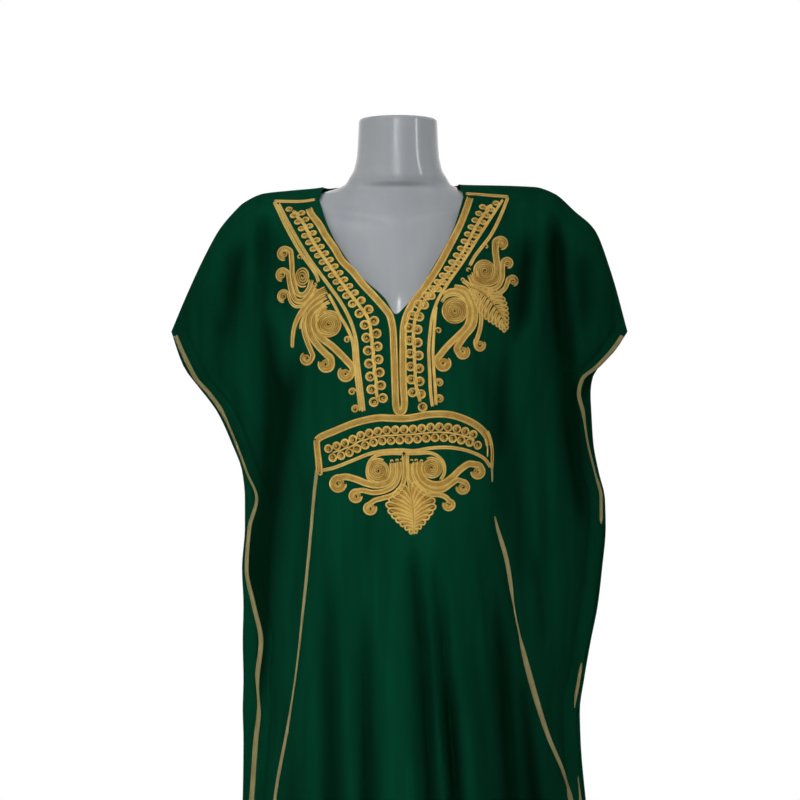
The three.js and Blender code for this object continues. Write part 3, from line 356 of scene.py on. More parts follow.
@dataclass(frozen=True)
class Panel:
    """The outer face of one cloth panel, as a depth over the plane of the side seams."""

    side: Side
    left_edge: Curve
    right_edge: Curve
    body: Curve
    wing: Curve
    slope_drop: float
    folds: Table
    creases: Table

    def hollow(self, x: Array, z: Array) -> Array:
        """How deep the folds and creases are together, in mm; they ease off below the crest."""
        depths = fold_depth(self.folds, x, z) + fold_depth(self.creases, x, z)
        return depths * smooth_step((CREST_Z(x) - z) / FOLDS_EASE)

    def depth(self, x: Array, z: Array) -> Array:
        """The cloth's y over points of the x-z plane.

        Off the side plane it stands out over the body, in a flat-topped bell round the middle, and
        in the wings, in a curve that closes at both edges. Towards the crest it closes up like a
        rounded fold. The folds and creases are taken off that, but for a least standoff, and the
        sleeve mouths stand open at the edges.

        Args:
            x: across, in mm.
            z: up, in mm.

        Returns:
            y in mm.
        """
        left, right = self.left_edge(z), self.right_edge(z)
        reach = (right - left) / 2
        from_middle = np.abs(x - (left + right) / 2)
        u = np.clip(from_middle / (reach - FLAP), 0, 1)
        wing_shape = (1 - u**3) ** 0.6
        body_shape = np.exp(-(np.abs(x / BODY_WIDTH(z)) ** 3.2)) * (1 - u**10)
        below_crest = CREST_Z(x) - z
        beyond = smooth_step((np.abs(x) - 150) / 130)
        drop = self.slope_drop + (SIDE_DROP - self.slope_drop) * beyond
        below = np.clip(below_crest / drop, 0, 1)
        cap = (1 - (1 - below) ** 2) ** 0.55
        plain = (self.body(z) * body_shape + self.wing(z) * wing_shape) * cap
        folded = plain - self.hollow(x, z) * wing_shape
        least = LEAST_STANDOFF * wing_shape * cap
        standoff = (folded + np.sqrt(folded**2 + least**2)) / 2
        mouth = MOUTH_OPEN(z) * np.clip(from_middle / reach, 0, 1) ** 5
        return self.side.value * (CLOTH + SEAM_GAP / 2 + standoff + mouth)

    def point(self, x: Array, z: Array) -> Array:
        """Points of the cloth as (..., 3) over places seen from the front."""
        x, z = np.broadcast_arrays(x, z)
        return np.stack([x, self.depth(x, z), z], axis=-1)

    def normal(self, x: Array, z: Array, near: float = 1.5) -> Array:
        """Outward unit normals, from the slope over a few millimetres.

        Args:
            x: across, in mm.
            z: up, in mm.
            near: how far to each side the slope is taken, in mm.

        Returns:
            Unit vectors, (..., 3).
        """
        above = np.minimum(z + near, CREST_Z(x) - 0.01)
        below = np.minimum(z - near, above - near)
        slope_x = (self.depth(x + near, z) - self.depth(x - near, z)) / (2 * near)
        slope_z = (self.depth(x, above) - self.depth(x, below)) / (above - below)
        n = -self.side.value * np.stack([slope_x, -np.ones_like(slope_x), slope_z], axis=-1)
        return n / np.linalg.norm(n, axis=-1, keepdims=True)

    def column_x(self, share: Array, z: Array) -> Array:
        """The x of columns at a height: a column keeps its share of the width."""
        left = self.left_edge(z)
        return left + (self.right_edge(z) - left) * share

    def crossing(self, share: Array, drop: Array) -> Array:
        """The height at which columns cross a line a given drop below the crest.

        Args:
            share: the columns' shares of the width.
            drop: how far below the crest the line lies, in mm.

        Returns:
            The heights in mm, found by halving a span.
        """
        low = np.full(np.broadcast(share, drop).shape, HEM_Z)
        high = np.full_like(low, 1500.0)
        for _ in range(44):
            z = (low + high) / 2
            under = z < CREST_Z(self.column_x(share, z)) - drop
            low, high = np.where(under, z, low), np.where(under, high, z)
        return low


def panel_of(side: Side, slope_drop: float, folds: Table, creases: Table) -> Panel:
    """A panel whose edges and standoffs are the tables' columns for its side.

    Args:
        side: front or back.
        slope_drop: height below the crest over which the cloth closes up to it, in mm.
        folds: its folds.
        creases: its creases.

    Returns:
        The panel.
    """
    name = side.name.lower()
    edges = [EDGES.curve("z", f"{name}_{end}") for end in ("left", "right")]
    standoffs = [STANDOFF.curve("z", f"{name}_{place}") for place in ("body", "wing")]
    return Panel(side, *edges, *standoffs, slope_drop, folds, creases)


FRONT = panel_of(Side.FRONT, 250.0, FRONT_FOLDS, FRONT_CREASES)
BACK = panel_of(Side.BACK, 130.0, BACK_FOLDS, BACK_CREASES)


def share_of(x: Array) -> Array:
    """The share of the width at the sleeve corners that lies left of x."""
    left, right = EDGES["front_left"][0], EDGES["front_right"][0]
    return (x - left) / (right - left)


def at_neck(x: Array) -> Array:
    """Whether x lies between the ends of the neckline."""
    return (x > NECK_LEFT) & (x < NECK_RIGHT)


def even_places(*spans: tuple[float, float, int]) -> Array:
    """Even places over spans that follow each other: each is (start, end, how many)."""
    return np.concatenate([np.linspace(*span)[:-1] for span in spans] + [[spans[-1][1]]])


# ---------------------------------------------------------------- meshes


class MeshMaker:
    """Writes points and faces, in millimetres, to a Blender object in metres."""

    def make(self, name: str, points: Array, quads: Array, uv: Array) -> bpy.types.Object:
        """One object from points and four-sided faces.

        Args:
            name: the piece's name.
            points: (n, 3) in mm.
            quads: (m, 4) indices, which turn anticlockwise seen from outside.
            uv: (m, 4, 2) texture places of the faces' corners.

        Returns:
            The object, linked and shaded smooth.
        """
        mesh = bpy.data.meshes.new(name)
        mesh.vertices.add(len(points))
        mesh.vertices.foreach_set("co", (points * MM).astype(np.float32).ravel())
        mesh.loops.add(quads.size)
        mesh.loops.foreach_set("vertex_index", quads.astype(np.int32).ravel())
        mesh.polygons.add(len(quads))
        mesh.polygons.foreach_set("loop_start", np.arange(0, quads.size, 4, dtype=np.int32))
        mesh.update(calc_edges=True)
        mesh.polygons.foreach_set("use_smooth", np.ones(len(quads), bool))
        layer = mesh.uv_layers.new(name="UVMap")
        layer.data.foreach_set("uv", uv.astype(np.float32).ravel())
        mesh.validate()
        obj = bpy.data.objects.new(name, mesh)
        bpy.context.scene.collection.objects.link(obj)
        return obj

    def grid_quads(self, rows: int, columns: int, closed: bool = False) -> Array:
        """Faces of a grid of points stored row by row, closed on itself across if asked.

        Args:
            rows: how many rows of points.
            columns: how many points in each row.
            closed: whether the last column joins the first.

        Returns:
            (m, 4) indices.
        """
        r = np.arange(rows - 1)[:, None]
        c = np.arange(columns if closed else columns - 1)[None, :]
        right = (c + 1) % columns
        a, b = r * columns + c, r * columns + right
        return np.stack([a, a + columns, b + columns, b], axis=-1).reshape(-1, 4)


MAKER = MeshMaker()


def arc_lengths(points: Array, axis: int) -> Array:
    """The running length along one axis of a grid of points.

    Args:
        points: a line or a grid of points, whose last axis holds x, y and z.
        axis: the axis to run along.

    Returns:
        The length at each point, 0 at the start.
    """
    step = np.linalg.norm(np.diff(points, axis=axis), axis=-1)
    start = np.zeros_like(np.take(step, [0], axis=axis))
    return np.concatenate([start, np.cumsum(step, axis=axis)], axis=axis)


def solidify(obj: bpy.types.Object, thickness: float) -> None:
    """Gives a sheet its thickness, inwards from the face that it was made with.

    Args:
        obj: the sheet.
        thickness: its thickness in mm.
    """
    modifier = obj.modifiers.new("thickness", "SOLIDIFY")
    modifier.thickness = thickness * MM
    modifier.offset = -1.0
    modifier.use_even_offset = True


def settle(obj: bpy.types.Object, nodes: tuple[str, ...]) -> bpy.types.Object:
    """Puts a piece on the part's body, in the place of its CAD nodes.

    Args:
        obj: the piece.
        nodes: the CAD nodes that it takes the place of.

    Returns:
        The same object.
    """
    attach(obj, "root")
    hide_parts(*nodes)
    LOG.info("%s: %d faces", obj.name, len(obj.data.polygons))
    return obj


def set_values(obj: bpy.types.Object, name: str, values: Array) -> None:
    """Gives an object's points an attribute, which its finish reads."""
    layer = obj.data.attributes.new(name, "FLOAT", "POINT")
    layer.data.foreach_set("value", values.astype(np.float32).ravel())


@dataclass
class ClothPanel:
    """A finished cloth panel: a fine grid over the panel's surface, given its thickness."""

    panel: Panel
    name: str
    replaces: tuple[str, ...]

    def columns(self) -> Array:
        """x of the columns at the sleeve corners' height, closer together beside the neck.

        Returns:
            x in mm, from left to right.
        """
        left, right = EDGES["front_left"][0], EDGES["front_right"][0]
        rim = FLAP * 1.3
        return even_places(
            (left, left + rim, 10), (left + rim, NECK_LEFT, 88), (NECK_LEFT, -92, 12), (-92, -3, 46),
            (-3, 78, 42), (78, NECK_RIGHT, 10), (NECK_RIGHT, right - rim, 96), (right - rim, right, 10),
        )

    def front_grid(self) -> Array:
        """Rows from the shoulder seam or the neckline down to the hem.

        Returns:
            (rows, columns, 3) points in mm.
        """
        x = self.columns()
        share = share_of(x)
        top = np.where(at_neck(x), NECK.curve("x", "z")(x), FRONT.crossing(share, SEAM_DROP))
        near = 0.11  # share of the length over which the rows start close together
        part = np.concatenate([np.linspace(0, 1, 24)[:-1] ** 1.5 * near, np.linspace(near, 1, 118)])
        z = top + (HEM_Z - top) * part[:, None]
        return FRONT.point(FRONT.column_x(share, z), z)

    def back_grid(self) -> Array:
        """Rows from the shoulder seam over the crest, or from the back neckline, to the hem.

        Down to the turn a row is told by how far it lies behind the crest: less than nothing is
        on the front. Its root, with the sign kept, falls evenly, so the rows crowd at the crest.

        Returns:
            (rows, columns, 3) points in mm, whose columns run from right to left.
        """
        x = self.columns()[::-1]
        share = share_of(x)
        top = np.where(at_neck(x), BACK_NECK.curve("x", "behind")(x), -SEAM_DROP)
        root = np.sign(top) * np.sqrt(np.abs(top))
        w = root + (np.sqrt(BACK_TURN) - root) * np.linspace(0, 1, 30)[:-1, None]
        near = np.sign(w) * w**2
        length = BACK.crossing(share, BACK_TURN) - HEM_Z
        on_front = FRONT.crossing(share[None, :], np.maximum(-near, 0.01))
        on_back = BACK.crossing(share[None, :], np.maximum(near, 0.01))
        before = FRONT.point(FRONT.column_x(share, on_front), on_front)
        behind = BACK.point(BACK.column_x(share, on_back), on_back)
        top_part = np.where((near < 0)[..., None], before, behind)
        z = HEM_Z + length * np.linspace(1, 0, 112)[:, None]
        return np.concatenate([top_part, BACK.point(BACK.column_x(share, z), z)])

    def build(self) -> bpy.types.Object:
        """The panel as a piece, in the place of the lengths that its CAD form is divided in.

        Returns:
            The cloth object with its thickness.
        """
        grid = self.front_grid() if self.panel.side is Side.FRONT else self.back_grid()
        rows, columns = grid.shape[:2]
        across = arc_lengths(grid, 1)
        uv = np.stack([across - across[:, columns // 2, None], grid[..., 2]], axis=-1).reshape(-1, 2)
        quads = MAKER.grid_quads(rows, columns)
        obj = MAKER.make(self.name, grid.reshape(-1, 3), quads, uv[quads])
        # Painted shade: each point keeps how deep its folds are, and the finish paints the cloth darker by
        # it.
        hollow = self.panel.hollow(grid[..., 0], grid[..., 2]) / FOLD_SHADE_FULL
        set_values(obj, "hollow", np.clip(hollow, 0, 1))
        solidify(obj, SHEET)
        return settle(obj, self.replaces)


# ---------------------------------------------------------------- lines on the cloth


def smooth_path(places: Array, step: float = 1.5) -> Array:
    """Even points on a smooth line through a few places.

    Each stretch is a cubic whose end slopes are those of the chord between its neighbours.

    Args:
        places: (n, 2) points, x and z in mm.
        step: distance between the points made, in mm.

    Returns:
        (m, 2) points.
    """
    p = np.asarray(places, float)
    away = np.concatenate([[0], np.cumsum(np.hypot(*np.diff(p, axis=0).T) ** 0.75)])
    slope = np.gradient(p, away, axis=0) if len(p) > 2 else np.diff(p, axis=0)[[0, 0]] / away[1]
    t = np.linspace(0, away[-1], 24 * len(p))
    k = np.clip(np.searchsorted(away, t, side="right") - 1, 0, len(p) - 2)
    span = (away[k + 1] - away[k])[:, None]
    s = (t - away[k])[:, None] / span
    fine = (
        p[k] * (1 + 2 * s) * (1 - s) ** 2
        + p[k + 1] * s * s * (3 - 2 * s)
        + slope[k] * span * s * (1 - s) ** 2
        - slope[k + 1] * span * s * s * (1 - s)
    )
    return resample(fine, step)


def resample(points: Array, step: float) -> Array:
    """Points at even distances along a polyline.

    Args:
        points: (n, 2) points.
        step: the distance wanted between points, in mm.

    Returns:
        (m, 2) points, with both ends kept.
    """
    run = np.concatenate([[0], np.cumsum(np.hypot(*np.diff(points, axis=0).T))])
    count = max(int(round(run[-1] / step)), 2) + 1
    at = np.linspace(0, run[-1], count)
    return np.stack([np.interp(at, run, points[:, k]) for k in range(2)], axis=-1)


def directions(path: Array) -> Array:
    """Unit directions along a path."""
    d = np.gradient(path, axis=0)
    return d / np.maximum(np.hypot(d[:, 0], d[:, 1]), 1e-9)[:, None]


def beside(path: Array, distance: Array | float) -> Array:
    """A path moved sideways, to the left of its direction.

    Args:
        path: (n, 2) points.
        distance: how far, in mm, for the whole path or by point.

    Returns:
        (n, 2) points.
    """
    d = directions(path)
    left = np.stack([-d[:, 1], d[:, 0]], axis=-1)
    return path + left * np.broadcast_to(distance, len(path))[:, None]


def spiral(centre: tuple[float, float], outer: float, start: float, sense: int) -> Array:
    """A coil that winds in from its rim: the radius falls evenly with the angle.

    Args:
        centre: x and z of its middle, in mm.
        outer: radius of the first turn's middle line.
        start: angle of its first point, in degrees.
        sense: 1 winds anticlockwise, -1 clockwise.

    Returns:
        (n, 2) points.
    """
    inner = 0.9
    turns = (outer - inner) / COIL_PITCH
    angle = np.linspace(0, 2 * np.pi * turns, max(int(40 * turns), 24))
    radius = outer - COIL_PITCH * angle / (2 * np.pi)
    turn = np.radians(start) + sense * angle
    points = np.stack([centre[0] + radius * np.cos(turn), centre[1] + radius * np.sin(turn)], axis=-1)
    return resample(points, LINE_STEP)


def frame_on(panel: Panel, line: Array) -> tuple[Array, Array, Array]:
    """The cloth's points under a line, and the unit directions out of it and across the line.

    Args:
        panel: the cloth that carries the line.
        line: (n, 2) points, x and z in mm.

    Returns:
        The points, the directions out and the directions across, each (n, 3).
    """
    base, up = panel.point(line[:, 0], line[:, 1]), panel.normal(line[:, 0], line[:, 1])
    along = np.gradient(base, axis=0)
    along /= np.maximum(np.linalg.norm(along, axis=-1, keepdims=True), 1e-9)
    across = np.cross(along, up)
    across /= np.maximum(np.linalg.norm(across, axis=-1, keepdims=True), 1e-9)
    return base, up, across


@dataclass
class CordPath:
    """A couched cord: its line, half its width, how far it lies above the cloth, and its tone.

    The tone is 0 for the deepest gold and 1 for the palest, for the whole cord or by place.
    """

    line: Array
    radius: float
    lift: float
    tone: Array | float


@dataclass
class CordWork:
    """Cords laid on a cloth panel, made as one piece of rounded, slightly flattened tubes."""

    name: str
    replaces: tuple[str, ...]
    cords: list[CordPath] = field(default_factory=list)
    panel: Panel = FRONT

    def lay(self, line: Array, lift: float, tone: Array | float = 0.6, radius: float = CORD) -> None:
        """Adds one cord along a line."""
        self.cords.append(CordPath(line, radius, lift, tone))

    def bundle(self, line: Array, count: int, start: float, end: float, lift: float) -> None:
        """Adds cords side by side.

        Args:
            line: the bundle's middle line.
            count: how many cords.
            start: how much of the usual distance between them is left at the start.
            end: how much of it is left at the end.
            lift: how far they lie above the cloth.
        """
        squeeze = np.linspace(start, end, len(line))
        for k in range(count):
            place = k - (count - 1) / 2
            outer = k in (0, count - 1)
            line_of_cord = beside(line, place * PITCH * squeeze)
            # Painted light and shade: the raised outer cords of a bundle take a pale tone, the inner ones
            # a deep tone for the shade between them.
            higher, tone = (OUTER_LIFT, 0.85) if outer else (0.0, 0.25)
            self.lay(line_of_cord, lift=lift + higher, tone=tone)

    def tube(self, cord: CordPath, sides: int = 8) -> tuple[Array, Array, Array, Array]:
        """The points, faces and texture places of one cord.

        A ring of points stands round each place on the line: across the cloth by the cord's
        radius, and up from it by three quarters of that. The ends close in like a dome.

        Args:
            cord: the cord to make.
            sides: points in each ring.

        Returns:
            points (n, 3), quads (m, 4), the corners' uv (m, 4, 2) and the points' tone (n,).
        """
        base, up, across = frame_on(self.panel, cord.line)
        count = len(base)
        size = np.full(count, cord.radius)
        size[[0, -1]] *= 0.05
        size[[1, -2]] *= 0.8
        angle = np.linspace(-np.pi / 2, 1.5 * np.pi, sides, endpoint=False)
        middle = base + up * (cord.radius * CORD_SEAT + cord.lift)
        ring = (
            middle[:, None]
            + across[:, None] * (size[:, None] * np.cos(angle))[..., None]
            + up[:, None] * (size[:, None] * CORD_FLATNESS * np.sin(angle))[..., None]
        )
        run = arc_lengths(base, 0)
        turn = np.broadcast_to(np.arange(sides) / sides, (count, sides))
        uv = np.stack([np.broadcast_to(run[:, None], turn.shape), turn], axis=-1).reshape(-1, 2)
        quads = MAKER.grid_quads(count, sides, closed=True)
        corners = uv[quads]
        corners[..., 1] += corners[..., 1] < corners[..., 1].max(axis=1, keepdims=True) - 0.5
        tone = np.repeat(np.broadcast_to(cord.tone, count), sides)
        return ring.reshape(-1, 3), quads, corners, tone

    def build(self) -> bpy.types.Object:
        """All the cords as one object, in the place of their CAD nodes.

        Returns:
            The cords' object.
        """
        points, quads, uv, tones = zip(*(self.tube(cord) for cord in self.cords))
        starts = np.cumsum([0] + [len(part) for part in points])
        moved = [part + start for part, start in zip(quads, starts)]
        obj = MAKER.make(self.name, np.concatenate(points), np.concatenate(moved), np.concatenate(uv))
        set_values(obj, "tone", np.concatenate(tones))
        return settle(obj, self.replaces)


@dataclass
class Braid:
    """A flat braid with a crowned section and two rounded selvedges, along a line on a panel.

    The cloth hides parts of it: its share of the width that shows is given by the height, and
    where that is nothing it runs under the cloth.
    """

    name: str
    panel: Panel
    line: Array
    shows: Curve
    width: float = BRAID_WIDTH

    def build(self) -> bpy.types.Object:
        """The braid as one object, in the place of its CAD node, which has the same name.

        Returns:
            The braid's object.
        """
        x, z = self.line[:, 0], self.line[:, 1]
        base, up, across = frame_on(self.panel, self.line)
        share = np.array([-1, -1, -0.82, -0.55, -0.1, 0.1, 0.55, 0.82, 1, 1])
        height = np.array([-0.25, 0.6, 1.15, 0.85, 0.55, 0.55, 0.85, 1.15, 0.6, -0.25])
        shown = np.clip(self.shows(z), 0, 1.2)
        half = self.width / 2 * np.maximum(shown, 0.2)[:, None]
        dip = 4.0 * smooth_step((0.2 - shown) / 0.2)
        spots_x = x[:, None] + across[:, None, 0] * share * half
        spots_z = z[:, None] + across[:, None, 2] * share * half
        rise = height[None, :] - dip[:, None]
        points = self.panel.point(spots_x, spots_z) + up[:, None] * rise[..., None]
        run = np.broadcast_to(arc_lengths(base, 0)[:, None], spots_x.shape)
        uv = np.stack([run, share * half], axis=-1).reshape(-1, 2)
        quads = MAKER.grid_quads(len(x), len(share), closed=True)[:, ::-1]
        obj = MAKER.make(f"{self.name}_trim", points.reshape(-1, 3), quads, uv[quads])
        return settle(obj, (self.name,))


# ---------------------------------------------------------------- the designs of the gold work

Places = tuple[tuple[float, float], ...]


@dataclass(frozen=True)
class Stem:
    """A bundle of cords along a line, which may narrow towards either end and end in a curl.

    The curl is given by the x and z of its middle, its radius and the way it turns.
    """

    count: int
    places: Places
    start: float = 1.0
    end: float = 1.0
    lift: float = 0.0
    curl: tuple[float, float, float, int] | None = None


@dataclass(frozen=True)
class Coil:
    """A cord wound in on itself, with the angle at which it begins and the way it turns."""

    x: float
    z: float
    radius: float
    start: float = 0.0
    sense: int = 1
    tall: float = 1.0
    lift: float = 0.5


@dataclass(frozen=True)
class Leaf:
    """Loops of cord on both sides of a midrib, each from the rib out to the leaf's outline."""

    rib: Places
    outlines: tuple[Places, ...]
    loops: int
    rib_span: tuple[float, float] = (0.06, 0.94)


@dataclass(frozen=True)
class Chain:
    """Two columns of small rings with a winding cord between them.

    Pitch and ring size change from the first to the second value around a share of the length.
    """

    column_a: Places
    column_b: Places
    pitch: tuple[float, float]
    wide: tuple[float, float]
    tall: tuple[float, float]
    change: float = 0.42
    stem: int = 2

    def at(self, pair: tuple[float, float], share: Array) -> Array:
        """A size on its way from the first of a pair to the second, at a share of the length."""
        return pair[0] + (pair[1] - pair[0]) * smooth_step((share - self.change) / 0.18)


class Design:
    """One embroidered motif, the CAD nodes that it stands for and its parts, lowest first."""

    def __init__(self, name: str, nodes: tuple[str, ...], *parts: Stem | Coil | Leaf | Chain) -> None:
        """Keeps the piece's name, its nodes and its parts.

        Args:
            name: the piece's name.
            nodes: the CAD nodes that it takes the place of.
            parts: its stems, coils, leaves and chains.
        """
        self.name = name
        self.nodes = nodes
        self.parts = parts


# The inner border of the neck work: down one side of the opening and its slit, round the foot of
# the slit, and the other side, which is given from the top down too.
EDGE_LEFT: Places = (
    (-122, 1413), (-119, 1406), (-106.6, 1389), (-96.6, 1371.6), (-84.8, 1354.7), (-75, 1338),
    (-59.4, 1321.5), (-46.5, 1305), (-31.7, 1289), (-17.5, 1272.6), (-11.4, 1264.5), (-7, 1247),
    (-5.4, 1220), (-3.7, 1171), (-2.2, 1142),
)
EDGE_RIGHT: Places = (
    (99, 1428), (95, 1416), (84, 1388), (69.5, 1359), (49, 1321), (31, 1294.5), (17, 1275), (9, 1255),
    (6.9, 1218), (7.3, 1171), (8.2, 1142),
)
EDGE_TURN: Places = ((-0.8, 1137), (3, 1134.6), (6.6, 1137))

NECK_WORK = Design(
    "neck_cords",
    (
        "neck_border_edge_left", "neck_border_edge_right", "neck_border_outer_left",
        "neck_border_outer_right", "neck_loops_left", "neck_loops_right",
    ),
    Stem(4, EDGE_LEFT + EDGE_TURN + EDGE_RIGHT[::-1]),
    Stem(2, ((-170.5, 1424), (-151, 1385), (-131, 1350), (-109, 1318), (-106, 1309))),
    Stem(2, ((-164.5, 1421), (-143, 1381), (-127, 1354), (-116, 1337), (-102, 1318), (-89, 1300),
        (-77, 1283), (-67.5, 1266.5), (-60.5, 1250), (-55.4, 1230), (-52.2, 1197), (-48.6, 1168),
        (-45, 1136))),
    Stem(2, ((-93, 1293), (-85, 1279), (-77.5, 1264), (-68, 1248), (-60.2, 1229), (-57, 1197),
        (-53.3, 1168), (-49.7, 1136)), 0.8),
    Stem(2, ((-171, 1424.5), (-150, 1423.4), (-136, 1422.8), (-124, 1423.4), (-113, 1425.2)), 1, 0.8),
    Stem(2, ((151, 1429), (138, 1398), (126, 1375), (112, 1356), (103, 1344), (96, 1331))),
    Stem(2, ((144, 1426), (124, 1395), (107, 1368.5), (88, 1338), (65, 1304.5), (53, 1284), (45.5, 1262),
        (42.6, 1240), (41, 1218), (42, 1190), (43.5, 1160), (46, 1142)), 0.62, 0.9),
    Stem(2, ((51, 1276), (49, 1258), (47.5, 1238), (46.5, 1215), (47.5, 1192), (49.5, 1165),
        (50.5, 1144)), 0.6, 0.9),
    Stem(2, ((152, 1429.6), (135, 1430.6), (121, 1431.4), (108, 1432.4), (92.5, 1433)), 1, 0.9),
    Coil(-132.5, 1344.5, 5.4, 300), Coil(-67, 1231, 6.0, 0), Coil(-60.5, 1162, 6.4, 0),
    Coil(-56.5, 1139, 6.8, 0), Coil(118.5, 1358, 4.8, 180, -1), Coil(53.5, 1243, 5.6, 180, -1),
    Coil(54.5, 1174, 7.2, 180, -1), Coil(55, 1152.5, 7.2, 180, -1), Coil(-106.5, 1309, 3.4, 90, 1),
    Coil(-46, 1135.5, 3.2, 90, 1),
    Chain(
        ((-149, 1412), (-134, 1389.5), (-124.5, 1371), (-97, 1330), (-76, 1300), (-54, 1270),
         (-45.5, 1257), (-43, 1241), (-40.6, 1224), (-37.5, 1190), (-34.5, 1160), (-29.5, 1138)),
        ((-134, 1411), (-118.5, 1385.5), (-108.5, 1366), (-83, 1329), (-62, 1300), (-44, 1278),
         (-35, 1265.5), (-29.5, 1249), (-27.5, 1231), (-25, 1197), (-21.5, 1165), (-18.5, 1144)),
        (11.2, 17.2), (4.9, 6.3), (3.7, 6.3),
    ),
    Chain(
        ((134, 1420), (110, 1383), (93, 1351), (72, 1321), (52, 1297), (40, 1284), (31.5, 1270.5),
         (27.5, 1256), (26.2, 1235), (28, 1208), (29, 1176), (33, 1140)),
        ((118, 1419), (98, 1383), (83, 1353), (62, 1321), (42, 1296), (28.5, 1281), (19.5, 1266),
         (14.8, 1251), (15.2, 1232), (16.5, 1200), (18, 1170), (22, 1146)),
        (11.2, 17.2), (4.9, 6.2), (3.7, 6.2),
    ),
)

BREAST_LEFT = Design(
    "breast_cords_left",
    ("breast_motif_left",),
    Stem(2, ((-91, 1283), (-101, 1276), (-107, 1266), (-107.5, 1253))),
    Stem(4, ((-94, 1271), (-100.5, 1271.5), (-108, 1265.5), (-112, 1255), (-109, 1244), (-100, 1232.5),
        (-88, 1223.5), (-74, 1210), (-61, 1196)), 1, 0.95, curl=(-69, 1186, 11.2, -1)),
    Stem(4, ((-97, 1280), (-110, 1273), (-118, 1263), (-119, 1250), (-115.5, 1237), (-106, 1223.5),
        (-93, 1210)), 1, 0.95, curl=(-95, 1199, 11.8, -1)),
    Stem(3, ((-95, 1289.5), (-109.6, 1282), (-121, 1270), (-126.2, 1256.5), (-124.6, 1240), (-120, 1227),
        (-114.5, 1214)), 1, 0.95, curl=(-121.5, 1207, 9.8, -1)),
    Stem(4, ((-95.5, 1299), (-107, 1293), (-117, 1284), (-127, 1272), (-134.5, 1260), (-139, 1247.5),
        (-140.9, 1235), (-141.5, 1221.5)), 1.1, 0.35, 0.3),
    Stem(2, ((-122, 1270), (-128.7, 1257), (-131.3, 1246)), 1, 0.5),
    Stem(3, ((-116, 1313), (-119, 1301), (-127, 1292.5), (-134, 1294), (-138.5, 1304), (-142, 1318),
        (-143, 1334), (-144.5, 1350)), 1, 1, curl=(-154, 1350.5, 10.6, 1)),
    Stem(3, ((-112, 1307), (-118, 1293), (-128, 1284), (-136, 1284.5), (-142, 1294), (-145.5, 1306),
        (-147.5, 1319)), 1, 0.9, -0.1, curl=(-156.5, 1321.5, 10, 1)),
    Stem(2, ((-108, 1301), (-118, 1287), (-129, 1277.5), (-138, 1277.5), (-144.5, 1284), (-147, 1291)),
        curl=(-154.5, 1292, 9.8, 1)),
    Coil(-91.7, 1252, 19.6, 30), Coil(-128, 1317, 11.6, 300, -1, 1.35),
    Coil(-111, 1306, 4.6, 200, 1), Coil(-95, 1295, 3.6, 200, 1), Coil(-92, 1281.5, 3.8, 200, 1),
)

BREAST_RIGHT = Design(
    "breast_cords_right",
    ("breast_motif_right",),
    Stem(2, ((58, 1281), (63, 1288), (72, 1291.5), (82, 1290), (89, 1284))),
    Stem(4, ((60, 1290.5), (72, 1296.5), (84.5, 1293), (93, 1281), (95.5, 1266), (91.5, 1250), (79, 1236),
        (65.5, 1222.5), (53.5, 1208)), 0.7, 0.95, curl=(60, 1199.5, 11, 1)),
    Stem(4, ((74.5, 1302), (89, 1299), (100, 1284), (103, 1266), (100, 1250), (89, 1236.5), (79.5, 1223)),
        0.7, 0.95, curl=(86, 1215, 10.2, 1)),
    Stem(3, ((86, 1311), (93.5, 1306), (104, 1293), (109.5, 1279), (111, 1263), (109.5, 1247),
        (105, 1232)), 0.8, 0.8, curl=(109, 1224.5, 8.4, 1)),
    Stem(4, ((102.5, 1324), (106, 1313), (117.4, 1308.5), (129.4, 1311.8), (133.5, 1324), (133, 1338),
        (131.5, 1351), (131.6, 1363)), 1, 1, curl=(139.5, 1364, 10, -1)),
    Stem(3, ((95, 1319), (101.5, 1306), (117.4, 1300), (132.9, 1303), (140.3, 1315), (141, 1327),
        (141.5, 1336)), 0.8, 1, -0.1, curl=(148, 1337, 8.4, -1)),
    Stem(3, ((97, 1306.5), (109, 1296.5), (121, 1293), (133, 1294), (143.5, 1301.5), (148, 1311)), 0.7, 1,
        curl=(155, 1313, 8.4, -1)),
    Coil(75.8, 1269.4, 19.2, 30), Coil(116.6, 1325, 16.2, 200, -1),
    Coil(86, 1311.5, 4.2, 0, 1), Coil(94, 1325, 4.6, 0, 1),
    Leaf(
        ((93, 1303.5), (110.5, 1296.5), (124, 1284.5), (134.5, 1270.5), (143, 1253.5), (145, 1243)),
        (
            ((110, 1301), (124, 1299), (138, 1293), (144, 1284), (147, 1270.5), (147, 1255),
             (145.5, 1244)),
            ((99, 1293), (105, 1276), (112, 1265), (122, 1257), (131, 1252), (138, 1247),
             (144.5, 1242)),
        ),
        12,
        (0.0, 0.9),
    ),
)

